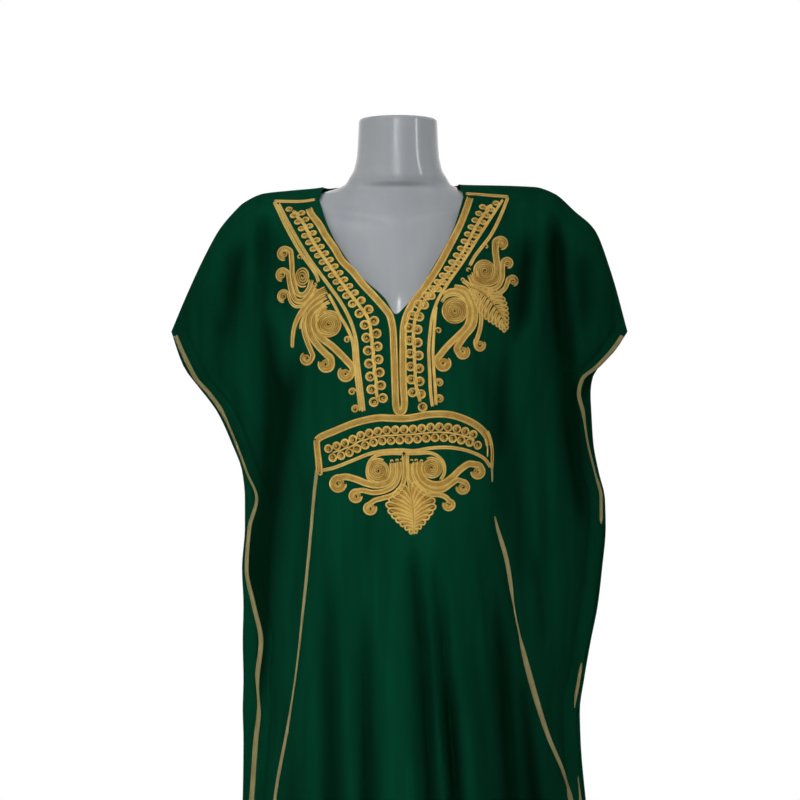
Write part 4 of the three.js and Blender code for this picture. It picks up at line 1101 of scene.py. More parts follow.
BAND_WORK = Design(
    "band_cords",
    ("band_frame", "band_loops"),
    Stem(4, ((-109, 1096), (-104, 1100.5), (-85, 1109), (-53, 1121.7), (-22, 1127.5), (-12, 1127),
        (12, 1126.8), (44, 1132), (68.5, 1131.5), (93, 1123.5), (109, 1113.6), (118.5, 1102),
        (122, 1089))),
    Stem(4, ((-108.5, 1098), (-107.5, 1085), (-106, 1070), (-104.5, 1052)), 0.9, 0.95, -0.1),
    Stem(2, ((-101, 1056.5), (-85, 1060.4), (-61, 1070), (-36.6, 1079.7), (-20, 1083), (4, 1084.4),
        (21.6, 1083.5), (44, 1087), (68.5, 1087.7), (93, 1083), (115.5, 1072), (123, 1062))),
    Stem(2, ((119, 1110), (124, 1096), (126, 1082), (125.5, 1059)), 1, 1),
    Stem(1, ((117, 1100), (119.5, 1088), (119.5, 1074))),
    Coil(-103, 1053, 4.4, 180, 1), Coil(123, 1061, 4.2, 0, 1),
    Chain(
        ((-92.5, 1086), (-69, 1094.2), (-48.3, 1104.2), (-24, 1109.8), (1, 1111.6), (24.4, 1112.6),
         (48.3, 1115.2), (71, 1114), (98, 1106), (110, 1100)),
        ((-92.4, 1072.3), (-68.5, 1079), (-48.7, 1088.8), (-27, 1095.8), (-2, 1097.4), (21.6, 1098.7),
         (41.8, 1100.6), (61.3, 1100.9), (86.3, 1096.8), (113, 1088)),
        (11.7, 11.7), (5.7, 5.7), (5.7, 5.7),
        stem=1,
    ),
)

BAND_MOTIF = Design(
    "band_motif_cords",
    ("band_motif",),
    Stem(2, ((7, 1079.8), (-12, 1080), (-27, 1077.6), (-36, 1071), (-40.5, 1059), (-39, 1047),
        (-32.5, 1040.5)), 1, 1, -0.1),
    Stem(2, ((9, 1079.8), (28, 1080.2), (42.5, 1080.5), (52.5, 1076.5), (60.5, 1067), (61.5, 1054),
        (56.5, 1044)), 1, 1, -0.1),
    Stem(4, ((-7, 1068), (-6.6, 1054), (-12, 1042.5), (-26, 1037.5), (-40, 1039.5), (-56, 1045.5),
        (-69, 1048.5), (-78, 1047)), 0.95, 0.95, curl=(-79.5, 1039, 12, 1)),
    Stem(3, ((1.5, 1069.5), (1.8, 1053), (-4.5, 1038), (-17, 1030.3), (-33, 1027.8), (-47, 1030.5),
        (-55, 1029.5)), 1, 0.95, curl=(-56, 1022.8, 9.6, 1)),
    Stem(3, ((8.6, 1078), (9.4, 1053), (5.5, 1037), (-6, 1025), (-20, 1020.2), (-31, 1017), (-38, 1012)),
        1, 0.9, curl=(-36.8, 1006.5, 9.4, 1)),
    Stem(4, ((29.5, 1069.5), (28.3, 1058), (34, 1045.5), (45, 1039), (59, 1039.5), (71, 1047), (84, 1059),
        (95, 1065.5), (105, 1064)), 0.95, 0.9, curl=(106.5, 1055, 10.5, -1)),
    Stem(3, ((22.8, 1069), (23, 1054.5), (31, 1039.5), (44, 1032), (59, 1031), (71, 1039), (79, 1044),
        (86, 1042)), 1, 0.95, curl=(86.3, 1034.3, 10, -1)),
    Stem(3, ((16.2, 1067), (17, 1049), (25.5, 1034), (40, 1025.5), (56, 1024.5), (64, 1021),
        (68.5, 1016)), 1, 0.9, curl=(67.5, 1011.5, 9, -1)),
    Stem(2, ((12.6, 1078), (13, 1060), (14.6, 1040), (19.8, 1012), (21.6, 972)), 0.9, 0.5, 0.5),
    Coil(-26.3, 1057, 17.4, 60), Coil(44.8, 1060.3, 15.6, 120, -1),
    Coil(-8.5, 1069, 3.9, 0), Coil(-1.5, 1070, 3.9, 0), Coil(4.6, 1071, 3.6, 0), Coil(18, 1070, 3.6, 0),
    Coil(24, 1070, 3.9, 0), Coil(31, 1069, 3.9, 0),
    Leaf(
        ((14, 1046), (17, 1030), (19.6, 1012), (20.8, 992), (21.6, 973)),
        (
            ((8, 1040), (-2, 1030), (-10, 1020), (-14.5, 1011), (-11, 1002.5), (-4.5, 994.5),
             (3.5, 987), (12, 980), (20, 972)),
            ((21, 1044), (31, 1034), (42, 1024), (49.5, 1014), (46, 1004), (39.5, 995), (33, 986),
             (26, 979), (22.5, 972)),
        ),
        11,
        (0.4, 1.0),
    ),
)

DESIGNS = (NECK_WORK, BREAST_LEFT, BREAST_RIGHT, BAND_WORK, BAND_MOTIF)

# The lines of the skirt braids, from the ends of the band to the hem.
SKIRT_BRAIDS: dict[str, Places] = {
    "left": (
        (-108.5, 1057), (-112, 1030), (-114, 1010), (-117, 975), (-123, 913), (-129, 858), (-138, 780),
        (-150, 705), (-166, 620), (-186, 420), (-204, 200), (-215, HEM_Z + 2),
    ),
    "right": (
        (126.5, 1062), (127, 1040), (131, 992), (147, 935), (160, 856), (176, 788), (206, 690), (230, 632),
        (247, 560), (262, 420), (276, 240), (284, HEM_Z + 2),
    ),
}

# How much of each braid's width shows, by height.
BRAID_SHARES = Table(
    "z edge_left edge_right left right plain",
    (1246, 0.85, 0.8, 0.8, 0.6, 1), (1140, 0.85, 0.8, 0.8, 0.6, 1), (1115, 0.45, 0.42, 0.8, 0.6, 1),
    (1062, 0.45, 0.38, 0.8, 0.6, 1), (1045, 0.45, 0.38, 0.8, 0.4, 1), (1036, 0.45, 0.6, 0.8, 0, 1),
    (1000, 0.7, 0.65, 0.75, 0, 1), (988, 0.75, 0.65, 0.7, 0.4, 1), (974, 0.75, 0, 0.7, 0.7, 1),
    (950, 0.75, 0, 0.7, 0.85, 1), (898, 0.8, 0, 0.7, 0.75, 1), (872, 0.85, 0, 0.65, 0.3, 1),
    (835, 0.9, 0, 0.55, 0.3, 1), (812, 0.95, 0, 0.5, 0.8, 1), (792, 0.95, 0, 0.45, 1, 1),
    (775, 0.95, 0.6, 0.4, 1.1, 1), (745, 0.5, 0.65, 0.4, 1.1, 1), (728, 0.55, 0.3, 0.5, 1.1, 1),
    (716, 0.85, 0, 0.7, 1.1, 1), (655, 1, 0, 0.9, 1, 1), (620, 1, 0.2, 1, 1, 1), (560, 1, 0.9, 1, 1, 1),
    (HEM_Z, 1, 1, 1, 1, 1),
)


@dataclass
class Embroiderer:
    """Lays out a design's cords and makes them."""

    design: Design

    def lay_coil(self, work: CordWork, coil: Coil) -> None:
        """Lays a coil, stretched upwards where it is tall, whose tone deepens inwards in waves.

        Args:
            work: the piece that takes the cord.
            coil: the coil.
        """
        line = spiral((0.0, 0.0), coil.radius - CORD, coil.start, coil.sense)
        line = line * np.array([1.0, coil.tall]) + np.array([coil.x, coil.z])
        inward = np.linspace(0, 1, len(line))
        tone = 0.62 - 0.3 * inward + 0.3 * np.sin(inward * len(line) * 0.21)
        work.lay(line, lift=coil.lift, tone=np.clip(tone, 0.05, 0.95))

    def lay_stem(self, work: CordWork, stem: Stem) -> None:
        """Lays a stem, wound round the middle of its curl where it has one.

        Args:
            work: the piece that takes the cords.
            stem: the stem.
        """
        line = smooth_path(stem.places)
        if stem.curl is not None:
            x, z, radius, sense = stem.curl
            away = line[-1] - np.array([x, z])
            inner = radius - stem.count * PITCH * stem.end / 2
            turn = np.linspace(0, CURL_TURN, 40)
            reach = inner + (np.hypot(*away) - inner) * (1 - smooth_step(turn / CURL_EASE))
            angle = np.arctan2(away[1], away[0]) + sense * turn
            arc = np.stack([x + reach * np.cos(angle), z + reach * np.sin(angle)], axis=-1)
            line = resample(np.concatenate([line, arc[1:]]), LINE_STEP)
            work.lay(spiral((x, z), radius * CURL_CORE, 0, sense), lift=0.5, tone=0.3)
        work.bundle(line, stem.count, stem.start, stem.end, stem.lift)

    def lay_leaf(self, work: CordWork, leaf: Leaf) -> None:
        """Lays hairpin loops from the midrib out to the outline, which widen to meet there.

        Args:
            work: the piece that takes the cords.
            leaf: the leaf.
        """
        rib = smooth_path(leaf.rib, 1.0)
        work.lay(smooth_path(leaf.rib), lift=1.0, tone=0.1)
        low, high = leaf.rib_span
        for outline in leaf.outlines:
            edge = smooth_path(outline, 1.0)
            pitch = (len(edge) - 1) / leaf.loops
            for k in range(leaf.loops):
                share = (k + 0.5) / leaf.loops
                root = rib[int((low + (high - low) * share) * (len(rib) - 1))]
                tip = edge[int(share * (len(edge) - 1))]
                reach = tip - root
                length = max(float(np.hypot(*reach)), 1e-6)
                ahead = reach / length
                side = np.array([-ahead[1], ahead[0]])
                bow = np.sign(side[1]) * side * length * LEAF_BOW
                wide = side * max(pitch / 2 - LEAF_GAP, CORD)
                knee = root + reach * LEAF_KNEE + bow
                loop = (
                    root + side, knee + wide * 0.7, tip - ahead + wide, tip + ahead * 1.2,
                    tip - ahead - wide, knee - wide * 0.7, root - side,
                )
                vein = smooth_path((root, knee, tip - ahead * 0.9), 1.5)
                work.lay(smooth_path(loop, LINE_STEP), lift=0.35 + 0.2 * (k % 2), tone=0.8, radius=1.4)
                work.lay(vein, lift=0.0, tone=0.15, radius=1.6)

    def rings(self, chain: Chain, column: Places, offset: float) -> tuple[Array, Array]:
        """Where a column's rings stand, and how far down the column each is.

        Args:
            chain: the chain.
            column: the line that the column's rings stand on.
            offset: where the first ring stands, in pitches.

        Returns:
            (n, 2) places in mm, and n shares of the column's length.
        """
        path = smooth_path(column, 0.5)
        share = np.linspace(0, 1, len(path))
        count = np.cumsum(0.5 / chain.at(chain.pitch, share))
        at = np.arange(offset, count[-1], 1.0)
        spots = [np.interp(at, count, path[:, k]) for k in range(2)]
        return np.stack(spots, axis=-1), np.interp(at, count, share)

    def lay_chain(self, work: CordWork, chain: Chain) -> None:
        """Lays rings in two columns half a pitch apart, each with a knot in its middle.

        A ring is one full turn of cord that then winds in. The cord between the columns passes
        each ring on its inner side.

        Args:
            work: the piece that takes the cords.
            chain: the chain.
        """
        columns = (self.rings(chain, chain.column_a, 0.05), self.rings(chain, chain.column_b, 0.55))
        bends: list[tuple[float, Array]] = []
        for side, (spots, shares) in enumerate(columns):
            other = columns[1 - side][0]
            for spot, share in zip(spots, shares):
                wide = chain.at(chain.wide, share) + RING_SPREAD - CORD
                tall = chain.at(chain.tall, share) + RING_SPREAD - CORD
                near = other[np.argsort(np.hypot(*(other - spot).T))[:2]].mean(axis=0)
                inward = (near - spot) / np.hypot(*(near - spot))
                start = np.arctan2(inward[1], inward[0])
                sense = -1 if side else 1
                turn = np.linspace(0, 2 * np.pi * RING_TURNS, 60)
                shrink = 1 - np.maximum(turn / (2 * np.pi) - 1, 0) * RING_WIND
                angle = start + sense * turn
                ring = np.stack([wide * shrink * np.cos(angle), tall * shrink * np.sin(angle)], axis=-1)
                line = resample(spot + ring, 1.2)
                work.lay(line, lift=0.45, tone=0.95 - 0.8 * smooth_step(np.linspace(-1, 2, len(line))))
                knot = spot + np.array([[-1.0, 0], [-0.4, 0.1], [0.4, 0.1], [1.0, 0]])
                work.lay(knot, radius=2.0, lift=-0.5, tone=0.1)
                bends.append((share, spot + inward * (min(wide, tall) + CORD + 0.9)))
        bends.sort(key=lambda bend: bend[0])
        path = smooth_path(np.array([place for _, place in bends]))
        work.bundle(path, chain.stem, 0.85, 0.85, -0.1)

    def build(self) -> bpy.types.Object:
        """The design's cords as one piece.

        Returns:
            The piece's object.
        """
        work = CordWork(self.design.name, self.design.nodes)
        ways = {Stem: self.lay_stem, Coil: self.lay_coil, Leaf: self.lay_leaf, Chain: self.lay_chain}
        for part in self.design.parts:
            ways[type(part)](work, part)
        return work.build()


# ---------------------------------------------------------------- the display form

# Half the form's width and how far it reaches to the front and back, at each height. Square is
# the power of its outline, 2 for an ellipse.
FORM = Table(
    "z width front back square",
    (1537.5, 54.5, 54.5, 54.5, 2), (1516, 55.5, 56, 55, 2), (1492, 57, 57, 56, 2),
    (1472, 61, 58, 58, 2), (1459, 68, 59, 61, 1.9), (1450, 74, 57, 57, 1.75),
    (1442, 94, 51, 52, 1.6), (1434, 132, 54, 58, 1.5), (1422, 165, 59, 66, 1.6),
    (1405, 184, 66, 74, 1.7), (1380, 190, 75, 81, 1.8), (1350, 186, 84, 88, 1.9),
    (1310, 176, 95, 93, 2), (1265, 162, 106, 92, 2.1), (1215, 153, 114, 88, 2.2),
    (1165, 145, 108, 82, 2.2), (1110, 136, 96, 77, 2.2), (1045, 130, 89, 76, 2.2),
    (975, 138, 88, 80, 2.2), (905, 150, 88, 86, 2.2), (850, 154, 86, 88, 2.2),
    (836, 148, 81, 83, 2.2), (830, 136, 72, 74, 2.2),
)
FORM_TOP_Z = 1541.0


@dataclass
class DisplayForm:
    """The limbless form: level outlines, each a squared ellipse, with a flat lid on its neck."""

    sides: int = 120

    def collar_bones(self, x: Array, z: Array) -> Array:
        """How far two low ridges stand out: bells round lines that rise away from the neck.

        Args:
            x: across, in mm.
            z: up, in mm.

        Returns:
            The ridges' height in mm.
        """
        along = smooth_step((np.abs(x) - 4) / 16) * smooth_step((125 - np.abs(x)) / 50)
        line = 1396 + 0.16 * np.abs(x)
        return 2.6 * along * np.exp(-(((z - line) / 7.5) ** 2))

    def lid(self, rim: Array, shares: tuple[float, ...], z: float, drops: tuple[float, ...]) -> Array:
        """Rings inside a rim, each a share of its size and some drop below a height.

        Args:
            rim: (n, 3) points of the rim.
            shares: each ring's share of the rim's size.
            z: the height that the rings drop from, in mm.
            drops: how far below that height each ring lies, in mm.

        Returns:
            (rings, n, 3) points.
        """
        rings = rim[None] * np.array(shares)[:, None, None]
        rings[..., 2] = z - np.array(drops)[:, None]
        return rings

    def build(self) -> bpy.types.Object:
        """The form's body, in the place of its CAD node.

        Returns:
            The form as one closed, smooth object.
        """
        levels = even_places((1537.5, 1440, 40), (1440, 1370, 46), (1370, 830, 84))
        width, front, back, square = (
            FORM.curve("z", name)(levels) for name in ("width", "front", "back", "square")
        )
        turn = -2 * np.pi * np.arange(self.sides) / self.sides
        power = 2 / square[:, None]
        bulge_x = np.sign(np.cos(turn)) * np.abs(np.cos(turn)) ** power
        bulge_y = np.sign(np.sin(turn)) * np.abs(np.sin(turn)) ** power
        reach = np.where(np.sin(turn) < 0, front[:, None], back[:, None])
        z = np.broadcast_to(levels[:, None], bulge_x.shape)
        x = width[:, None] * bulge_x
        body = np.stack([x, reach * bulge_y - self.collar_bones(x, z) * (bulge_y < 0), z], axis=-1)
        lid = self.lid(body[0], (0.004, 0.5, 0.9, 0.955, 0.985), FORM_TOP_Z, (0, 0, 0, 0.5, 1.7))
        floor = self.lid(body[-1], (0.96, 0.6, 0.01), levels[-1], (0, 0, 0))
        grid = np.concatenate([lid, body, floor])
        quads = MAKER.grid_quads(len(grid), self.sides, closed=True)
        uv = np.stack([grid[..., 0], grid[..., 2]], axis=-1).reshape(-1, 2)
        obj = MAKER.make("form_body", grid.reshape(-1, 3), quads[:, ::-1], uv[quads[:, ::-1]])
        return settle(obj, ("display_form",))


# ---------------------------------------------------------------- finishes


class Value:
    """A node's output, with ordinary arithmetic that adds the nodes for it."""

    def __init__(self, shader: "Shader", socket: bpy.types.NodeSocket) -> None:
        """Keeps the shader that the socket belongs to."""
        self.shader = shader
        self.socket = socket

    def math(self, operation: str, *others: "Value | float") -> "Value":
        """One Math node over this value and others."""
        return self.shader.add("ShaderNodeMath", {"operation": operation}, (self, *others))

    def __add__(self, other: "Value | float") -> "Value":
        """Sum."""
        return self.math("ADD", other)

    def __sub__(self, other: "Value | float") -> "Value":
        """Difference."""
        return self.math("SUBTRACT", other)

    def __mul__(self, other: "Value | float") -> "Value":
        """Product."""
        return self.math("MULTIPLY", other)

    def __truediv__(self, other: "Value | float") -> "Value":
        """Quotient."""
        return self.math("DIVIDE", other)

    def __rsub__(self, other: float) -> "Value":
        """A number less this value."""
        return self.shader.add("ShaderNodeMath", {"operation": "SUBTRACT"}, (other, self))

    __radd__ = __add__
    __rmul__ = __mul__

    def sine(self) -> "Value":
        """Its sine."""
        return self.math("SINE")

    def size(self) -> "Value":
        """Its absolute value."""
        return self.math("ABSOLUTE")

    def between(self, low: float, high: float) -> "Value":
        """How far it is from low to high, held to 0..1."""
        inputs = {"Value": self, "From Min": low, "From Max": high}
        return self.shader.add("ShaderNodeMapRange", {"clamp": True}, inputs)


Input = Value | float | tuple[float, ...]
Inputs = tuple[Input, ...] | dict[str, Input]


class Shader:
    """A material's node tree, written as expressions."""

    def __init__(self, name: str) -> None:
        """Starts an empty material with a Principled shader.

        Args:
            name: the material's name.
        """
        self.material = bpy.data.materials.new(name)
        self.material.use_nodes = True
        self.tree = self.material.node_tree
        self.principled = self.tree.nodes["Principled BSDF"]

    def add(self, kind: str, settings: dict, inputs: Inputs, out: int = 0) -> Value:
        """One node.

        Args:
            kind: the node's type.
            settings: its properties.
            inputs: values for its sockets, in order or by name.
            out: which output is wanted.

        Returns:
            That output.
        """
        node = self.tree.nodes.new(kind)
        for key, setting in settings.items():
            setattr(node, key, setting)
        pairs = inputs.items() if isinstance(inputs, dict) else enumerate(inputs)
        for key, given in pairs:
            self.put(node.inputs[key], given)
        return Value(self, node.outputs[out])

    def put(self, socket: bpy.types.NodeSocket, given: Input) -> None:
        """Links a value to a socket, or sets a constant on it.

        Args:
            socket: a node's input.
            given: a value to link, or a constant.
        """
        if isinstance(given, Value):
            self.tree.links.new(given.socket, socket)
        elif isinstance(given, tuple) and len(given) == 3 and socket.type == "RGBA":
            socket.default_value = (*given, 1.0)
        else:
            socket.default_value = given

    def place(self) -> Value:
        """The object coordinates, in metres."""
        return self.add("ShaderNodeTexCoord", {}, (), out=3)

    def attribute(self, name: str) -> Value:
        """The piece's own value of that name at each point."""
        return self.add("ShaderNodeAttribute", {"attribute_name": name}, (), out=2)

    def uv(self) -> tuple[Value, Value]:
        """The two texture coordinates, in millimetres or turns.

        Returns:
            The coordinate along the piece, and the one across or round it.
        """
        node = self.tree.nodes.new("ShaderNodeSeparateXYZ")
        self.tree.links.new(self.add("ShaderNodeTexCoord", {}, (), out=2).socket, node.inputs[0])
        return Value(self, node.outputs[0]), Value(self, node.outputs[1])

    def noise(self, scale: tuple[float, float, float], detail: float = 3, roughness: float = 0.5) -> Value:
        """Soft noise over the object, with its own scale along each axis.

        Args:
            scale: how fine it is along each axis, per metre.
            detail: how many finer layers it has.
            roughness: how strong the finer layers are.

        Returns:
            The noise, between 0 and 1.
        """
        stretched = self.add("ShaderNodeMapping", {}, {"Vector": self.place(), "Scale": scale})
        inputs = {"Vector": stretched, "Scale": 1.0, "Detail": detail, "Roughness": roughness}
        return self.add("ShaderNodeTexNoise", {}, inputs)

    def mix(self, share: Input, a: Input, b: Input) -> Value:
        """A colour between two others.

        Args:
            share: 0 gives the first colour, 1 the second.
            a: the first colour.
            b: the second colour.

        Returns:
            The mixed colour.
        """
        node = self.tree.nodes.new("ShaderNodeMix")
        node.data_type = "RGBA"
        for index, given in ((0, share), (6, a), (7, b)):
            self.put(node.inputs[index], given)
        return Value(self, node.outputs[2])

    def bump(self, height: Value, distance: float, strength: float = 1.0) -> None:
        """Roughens the surface by a height in 0..1 over a distance in metres."""
        inputs = {"Height": height, "Distance": distance, "Strength": strength}
        self.put(self.principled.inputs["Normal"], self.add("ShaderNodeBump", {}, inputs))

    def set(self, **sockets: Input) -> None:
        """Sets or links the Principled shader's own sockets, named with _ for blanks."""
        for key, given in sockets.items():
            self.put(self.principled.inputs[key.replace("_", " ")], given)


Colour = tuple[float, float, float]


@dataclass(frozen=True)
class ClothFinish:
    """Fine green cloth with a crepe surface, softly streaked, with painted shade that darkens it in its
    folds' hollows.
    """

    # shaded is painted shade: the colour the cloth takes in its deepest fold hollows.
    shaded: Colour = (0.0002, 0.0058, 0.0024)
    deep: Colour = (0.0004, 0.0170, 0.0076)
    bright: Colour = (0.0008, 0.0275, 0.0130)

    def material(self) -> bpy.types.Material:
        """The cloth's material.

        Returns:
            The material with its nodes.
        """
        shader = Shader("green_cloth")
        streaks = shader.noise((70, 70, 6), 4)
        patches = shader.noise((9, 9, 5), 2)
        crepe = shader.noise((900, 900, 700), 2, 0.6)
        share = (streaks * 0.55 + patches * 0.45).between(0.32, 0.68)
        plain = shader.mix(share, self.deep, self.bright)
        shader.set(
            # Painted shade: the colour goes towards the shaded green with the fold depth kept on the
            # points.
            Base_Color=shader.mix(shader.attribute("hollow") * 0.9, plain, self.shaded),
            Roughness=0.72 + patches * 0.12,
            Specular_IOR_Level=0.008,
            Sheen_Weight=0.004,
            Sheen_Roughness=0.5,
            Sheen_Tint=(0.1, 0.8, 0.45),
        )
        shader.bump(crepe * 0.5 + streaks * 0.5, 0.0006, 0.55)
        return shader.material


@dataclass(frozen=True)
class CordFinish:
    """Gold thread twisted into a cord: slanting ridges, with brown painted shade in the hollows between
    them and on the cord's underside, where it meets the cloth and the cords beside it.
    """

    light: Colour = (0.470, 0.335, 0.098)
    dark: Colour = (0.190, 0.088, 0.004)
    # painted shade: the dark brown that the cord's underside takes, where it meets the cloth and the cords
    # beside it
    underside_shade: Colour = (0.050, 0.021, 0.001)

    def material(self) -> bpy.types.Material:
        """The cord's material.

        Returns:
            The material with its nodes.
        """
        shader = Shader("gold_cord")
        along, around = shader.uv()
        twist = ((along / 1.7 + around * 2.0) * (2 * np.pi)).sine() * 0.5 + 0.5
        stain = shader.noise((85, 85, 85), 4, 0.6).between(0.34, 0.66)
        # Partly painted shade: the twist's hollows come out darker; the stains are the gold's own patchy
        # colour.
        share = shader.attribute("tone") * 0.6 + twist * 0.2 + stain * 0.3 - 0.05
        # Painted shade: 1 on the cord's top, falling to 0 on its underside, where the shade colour is
        # mixed in.
        unshaded_share = (around * (2 * np.pi) - np.pi).math("COSINE").between(-0.05, 0.8)
        thread = shader.mix(share, self.dark, self.light)
        shader.set(
            Base_Color=shader.mix(unshaded_share, self.underside_shade, thread),
            Roughness=0.55 - twist * 0.12,
            Metallic=0.3,
            Specular_IOR_Level=0.08,
        )
        shader.bump(twist, 0.0003, 0.6)
        return shader.material


@dataclass(frozen=True)
class BraidFinish:
    """Flat gold braid whose threads slant from both selvedges to the middle, with painted shade in the
    hollows between the slanting threads.
    """

    light: Colour = (0.230, 0.205, 0.085)
    dark: Colour = (0.105, 0.078, 0.024)

    def material(self) -> bpy.types.Material:
        """The braid's material.

        Returns:
            The material with its nodes.
        """
        shader = Shader("gold_braid")
        along, aside = shader.uv()
        slant = ((along + aside.size() * 0.9) * (2 * np.pi / 1.5)).sine() * 0.5 + 0.5
        stain = shader.noise((40, 40, 40), 3).between(0.3, 0.7)
        shader.set(
            # Partly painted shade: the slant's hollows come out darker; the stains are the braid's own
            # patchy colour.
            Base_Color=shader.mix(slant * 0.5 + stain * 0.4 + 0.1, self.dark, self.light),
            Roughness=0.5,
            Metallic=0.25,
        )
        shader.bump(slant, 0.00035, 0.6)
        return shader.material


@dataclass(frozen=True)
class FormFinish:
    """Glossy grey moulded plastic, faintly streaked from top to bottom."""

    pale: Colour = (0.152, 0.160, 0.168)
    deep: Colour = (0.122, 0.130, 0.139)

    def material(self) -> bpy.types.Material:
        """The form's material.

        Returns:
            The material with its nodes.
        """
        shader = Shader("form_plastic")
        streaks = shader.noise((16, 16, 1.4), 3)
        shader.set(
            Base_Color=shader.mix(streaks.between(0.35, 0.65), self.deep, self.pale),
            Roughness=0.16 + shader.noise((25, 25, 9), 3) * 0.06,
            Specular_IOR_Level=0.5,
            Coat_Weight=0.5,
            Coat_Roughness=0.06,
        )
        shader.bump(shader.noise((10, 10, 2.5), 2), 0.004, 0.25)
        return shader.material


@dataclass(frozen=True)
class SteelFinish:
    """Brushed steel, with fine scratches round the pole and the base."""

    def material(self) -> bpy.types.Material:
        """The steel's material.

        Returns:
            The material with its nodes.
        """
        shader = Shader("brushed_steel")
        brushed = shader.noise((30, 30, 1500), 3)
        shader.set(
            Base_Color=shader.mix(brushed, (0.50, 0.51, 0.52), (0.64, 0.65, 0.66)),
            Roughness=0.26 + brushed * 0.14,
            Metallic=1.0,
        )
        shader.bump(brushed, 0.0002, 0.3)
        return shader.material


@dataclass(frozen=True)
class FloorFinish:
    """Plain matt floor."""

    def material(self) -> bpy.types.Material:
        """The floor's material.

        Returns:
            The material with its nodes.
        """
        shader = Shader("floor")
        shader.set(Base_Color=(0.82, 0.82, 0.82), Roughness=0.7)
        return shader.material


def paint(obj: bpy.types.Object, material: bpy.types.Material) -> None:
    """Gives an object one material."""
    obj.data.materials.clear()
    obj.data.materials.append(material)


# ---------------------------------------------------------------- the studio


@dataclass(frozen=True)
class SoftBox:
    """A soft light: its place, what it faces, its size and power, whether it mirrors, its spread."""

    name: str
    place: tuple[float, float, float]
    aim: tuple[float, float, float]
    size: tuple[float, float]
    power: float
    mirrored: bool = False
    spread: float = 180.0


@dataclass
class Studio:
    """Camera, soft boxes, a white surround and a small pale floor, in metres."""

    distance: float = 3.0  # from the camera to the side plane
    height: float = 1.151  # of the camera
    aside: float = 0.0028  # the camera is this far to the right
    lens: float = 97.1  # in millimetres, for a sensor of the width below
    sensor: float = 36.0
    ambient: float = 0.30  # how bright the surround is for matt surfaces
    floor_radius: float = 1.3
    floor_drop: float = 0.0005  # the floor lies this far under the base
    boxes: tuple[SoftBox, ...] = (
        SoftBox("key", (-0.22, -2.9, 1.75), (-0.05, 0, 1.12), (0.3, 1.5), 2.95, False, 17),
        SoftBox("side", (-2.0, -2.4, 2.4), (0, 0, 1.15), (0.8, 0.8), 31),
        SoftBox("fill", (2.6, -2.2, 1.6), (0, 0, 1.1), (0.9, 1.6), 12),
        SoftBox("behind", (1.0, 3.2, 1.3), (0, 0, 1.0), (1.6, 1.6), 60),
        SoftBox("strip_left", (-0.87, -2.04, 3.5), (0, 0, 1.4), (0.55, 0.08), 2.2, True),
        SoftBox("strip_right", (0.38, -2.05, 3.55), (0, 0, 1.4), (0.4, 0.08), 1.6, True),
        SoftBox("window_left", (-2.6, -2.3, 3.0), (0, 0, 1.4), (0.12, 0.6), 5, True),
        SoftBox("window_right", (2.9, -2.0, 2.4), (0, 0, 1.4), (0.12, 0.6), 4, True),
        SoftBox("window_front", (0.02, -2.3, 2.42), (0, 0, 1.25), (0.05, 0.34), 1.2, True),
    )

    def camera(self) -> None:
        """Makes the level camera, straight in front."""
        data = bpy.data.cameras.new("camera")
        data.lens = self.lens
        data.sensor_width = self.sensor
        obj = bpy.data.objects.new("camera", data)
        obj.location = (self.aside, -self.distance, self.height)
        obj.rotation_euler = (np.pi / 2, 0.0, 0.0)
        bpy.context.scene.collection.objects.link(obj)
        bpy.context.scene.camera = obj

    def lights(self) -> None:
        """Makes the soft boxes and the white surround."""
        for box in self.boxes:
            data = bpy.data.lights.new(box.name, "AREA")
            data.shape = "RECTANGLE"
            data.size, data.size_y = box.size
            data.energy = box.power
            data.spread = np.radians(box.spread)
            obj = bpy.data.objects.new(box.name, data)
            obj.location = box.place
            facing = Vector(box.aim) - Vector(box.place)
            obj.rotation_euler = facing.to_track_quat("-Z", "Y").to_euler()
            obj.visible_glossy = box.mirrored
            bpy.context.scene.collection.objects.link(obj)
        self.surround()
        bpy.context.scene.view_settings.view_transform = "Standard"

    def surround(self) -> None:
        """Makes the white surround, which lights matt surfaces less than it shows and mirrors."""
        world = bpy.data.worlds.new("surround")
        world.use_nodes = True
        nodes, links = world.node_tree.nodes, world.node_tree.links
        rays = nodes.new("ShaderNodeLightPath")
        matt = nodes.new("ShaderNodeMapRange")
        matt.inputs["To Min"].default_value = 1.0
        matt.inputs["To Max"].default_value = self.ambient
        links.new(rays.outputs["Is Diffuse Ray"], matt.inputs["Value"])
        nodes["Background"].inputs["Color"].default_value = (1.0, 1.0, 1.0, 1.0)
        links.new(matt.outputs["Result"], nodes["Background"].inputs["Strength"])
        bpy.context.scene.world = world

    def floor(self) -> None:
        """Makes a small pale floor under the base."""
        mesh = bpy.data.meshes.new("floor")
        corners = 96
        turn = 2 * np.pi * np.arange(corners) / corners
        x, y = self.floor_radius * np.cos(turn), self.floor_radius * np.sin(turn)
        ring = np.stack([x, y, np.full(corners, -self.floor_drop)], axis=-1)
        mesh.from_pydata(ring.tolist(), [], [list(range(corners))])
        obj = bpy.data.objects.new("floor", mesh)
        bpy.context.scene.collection.objects.link(obj)
        paint(obj, FloorFinish().material())

    def build(self) -> None:
        """Makes all of it."""
        self.camera()
        self.lights()
        self.floor()


# ---------------------------------------------------------------- the whole piece


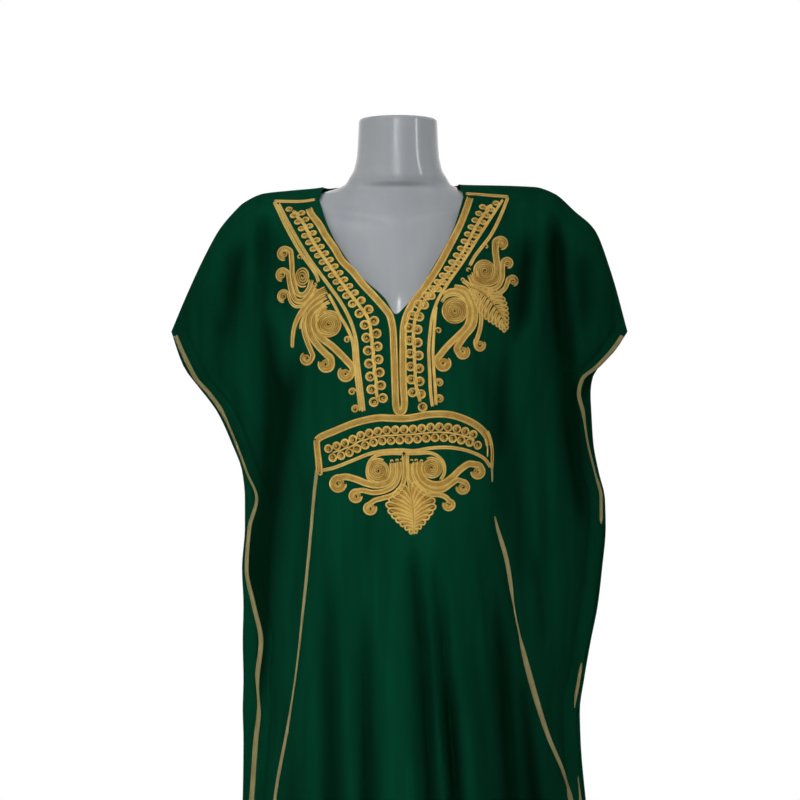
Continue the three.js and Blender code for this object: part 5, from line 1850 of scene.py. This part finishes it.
@dataclass
class Kandura:
    """The garment: its two cloth panels, the braids and the cord work on them."""

    sheets: list[bpy.types.Object] = field(default_factory=list)

    def edge_line(self, panel: Panel, left: bool, top: float) -> Array:
        """The middle of an edge braid, from the sleeve's corner to the hem.

        Args:
            panel: front or back.
            left: whether it is the left edge.
            top: height of the braid's upper end, in mm.

        Returns:
            (n, 2) points, x and z in mm.
        """
        z = np.linspace(top, HEM_Z + 0.5, 420)
        edge = panel.left_edge(z) if left else panel.right_edge(z)
        inset = BRAID_INSET + BRAID_WIDTH / 2
        return np.stack([edge + (inset if left else -inset), z], axis=-1)

    def braids(self) -> list[Braid]:
        """All the flat braids.

        Returns:
            The braids, ready to be built.
        """
        plain = BRAID_SHARES.curve("z", "plain")
        left, right = BRAID_SHARES.curve("z", "edge_left"), BRAID_SHARES.curve("z", "edge_right")
        braids = [
            Braid("edge_braid_front_left", FRONT, self.edge_line(FRONT, True, 1240), left),
            Braid("edge_braid_front_right", FRONT, self.edge_line(FRONT, False, 1240), right),
            Braid("edge_braid_back_left", BACK, self.edge_line(BACK, True, 1236), plain),
            Braid("edge_braid_back_right", BACK, self.edge_line(BACK, False, 1236), plain),
        ]
        for side, places in SKIRT_BRAIDS.items():
            shows = BRAID_SHARES.curve("z", side)
            braids.append(Braid(f"skirt_braid_{side}", FRONT, smooth_path(places, 3.0), shows))
        return braids

    def build(self) -> None:
        """Makes the cloth first, then what lies on it."""
        cloth = ClothFinish().material()
        back_nodes = ("back_panel_upper_left", "back_panel_upper_right", "back_panel_lower")
        for panel in (
            ClothPanel(FRONT, "front_cloth", ("front_panel_upper", "front_panel_lower")),
            ClothPanel(BACK, "back_cloth", back_nodes),
        ):
            sheet = panel.build()
            paint(sheet, cloth)
            self.sheets.append(sheet)
        braid_gold = BraidFinish().material()
        for braid in self.braids():
            paint(braid.build(), braid_gold)
        cord_gold = CordFinish().material()
        for design in DESIGNS:
            paint(Embroiderer(design).build(), cord_gold)


def main() -> None:
    """Builds the studio, the form and its stand, and the garment."""
    logging.basicConfig(level=logging.INFO, format="%(message)s")
    Studio().build()
    paint(DisplayForm().build(), FormFinish().material())
    steel = SteelFinish().material()
    for name in ("stand_pole", "stand_base"):
        paint(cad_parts[name], steel)
    Kandura().build()


if __name__ == "__main__":
    main()
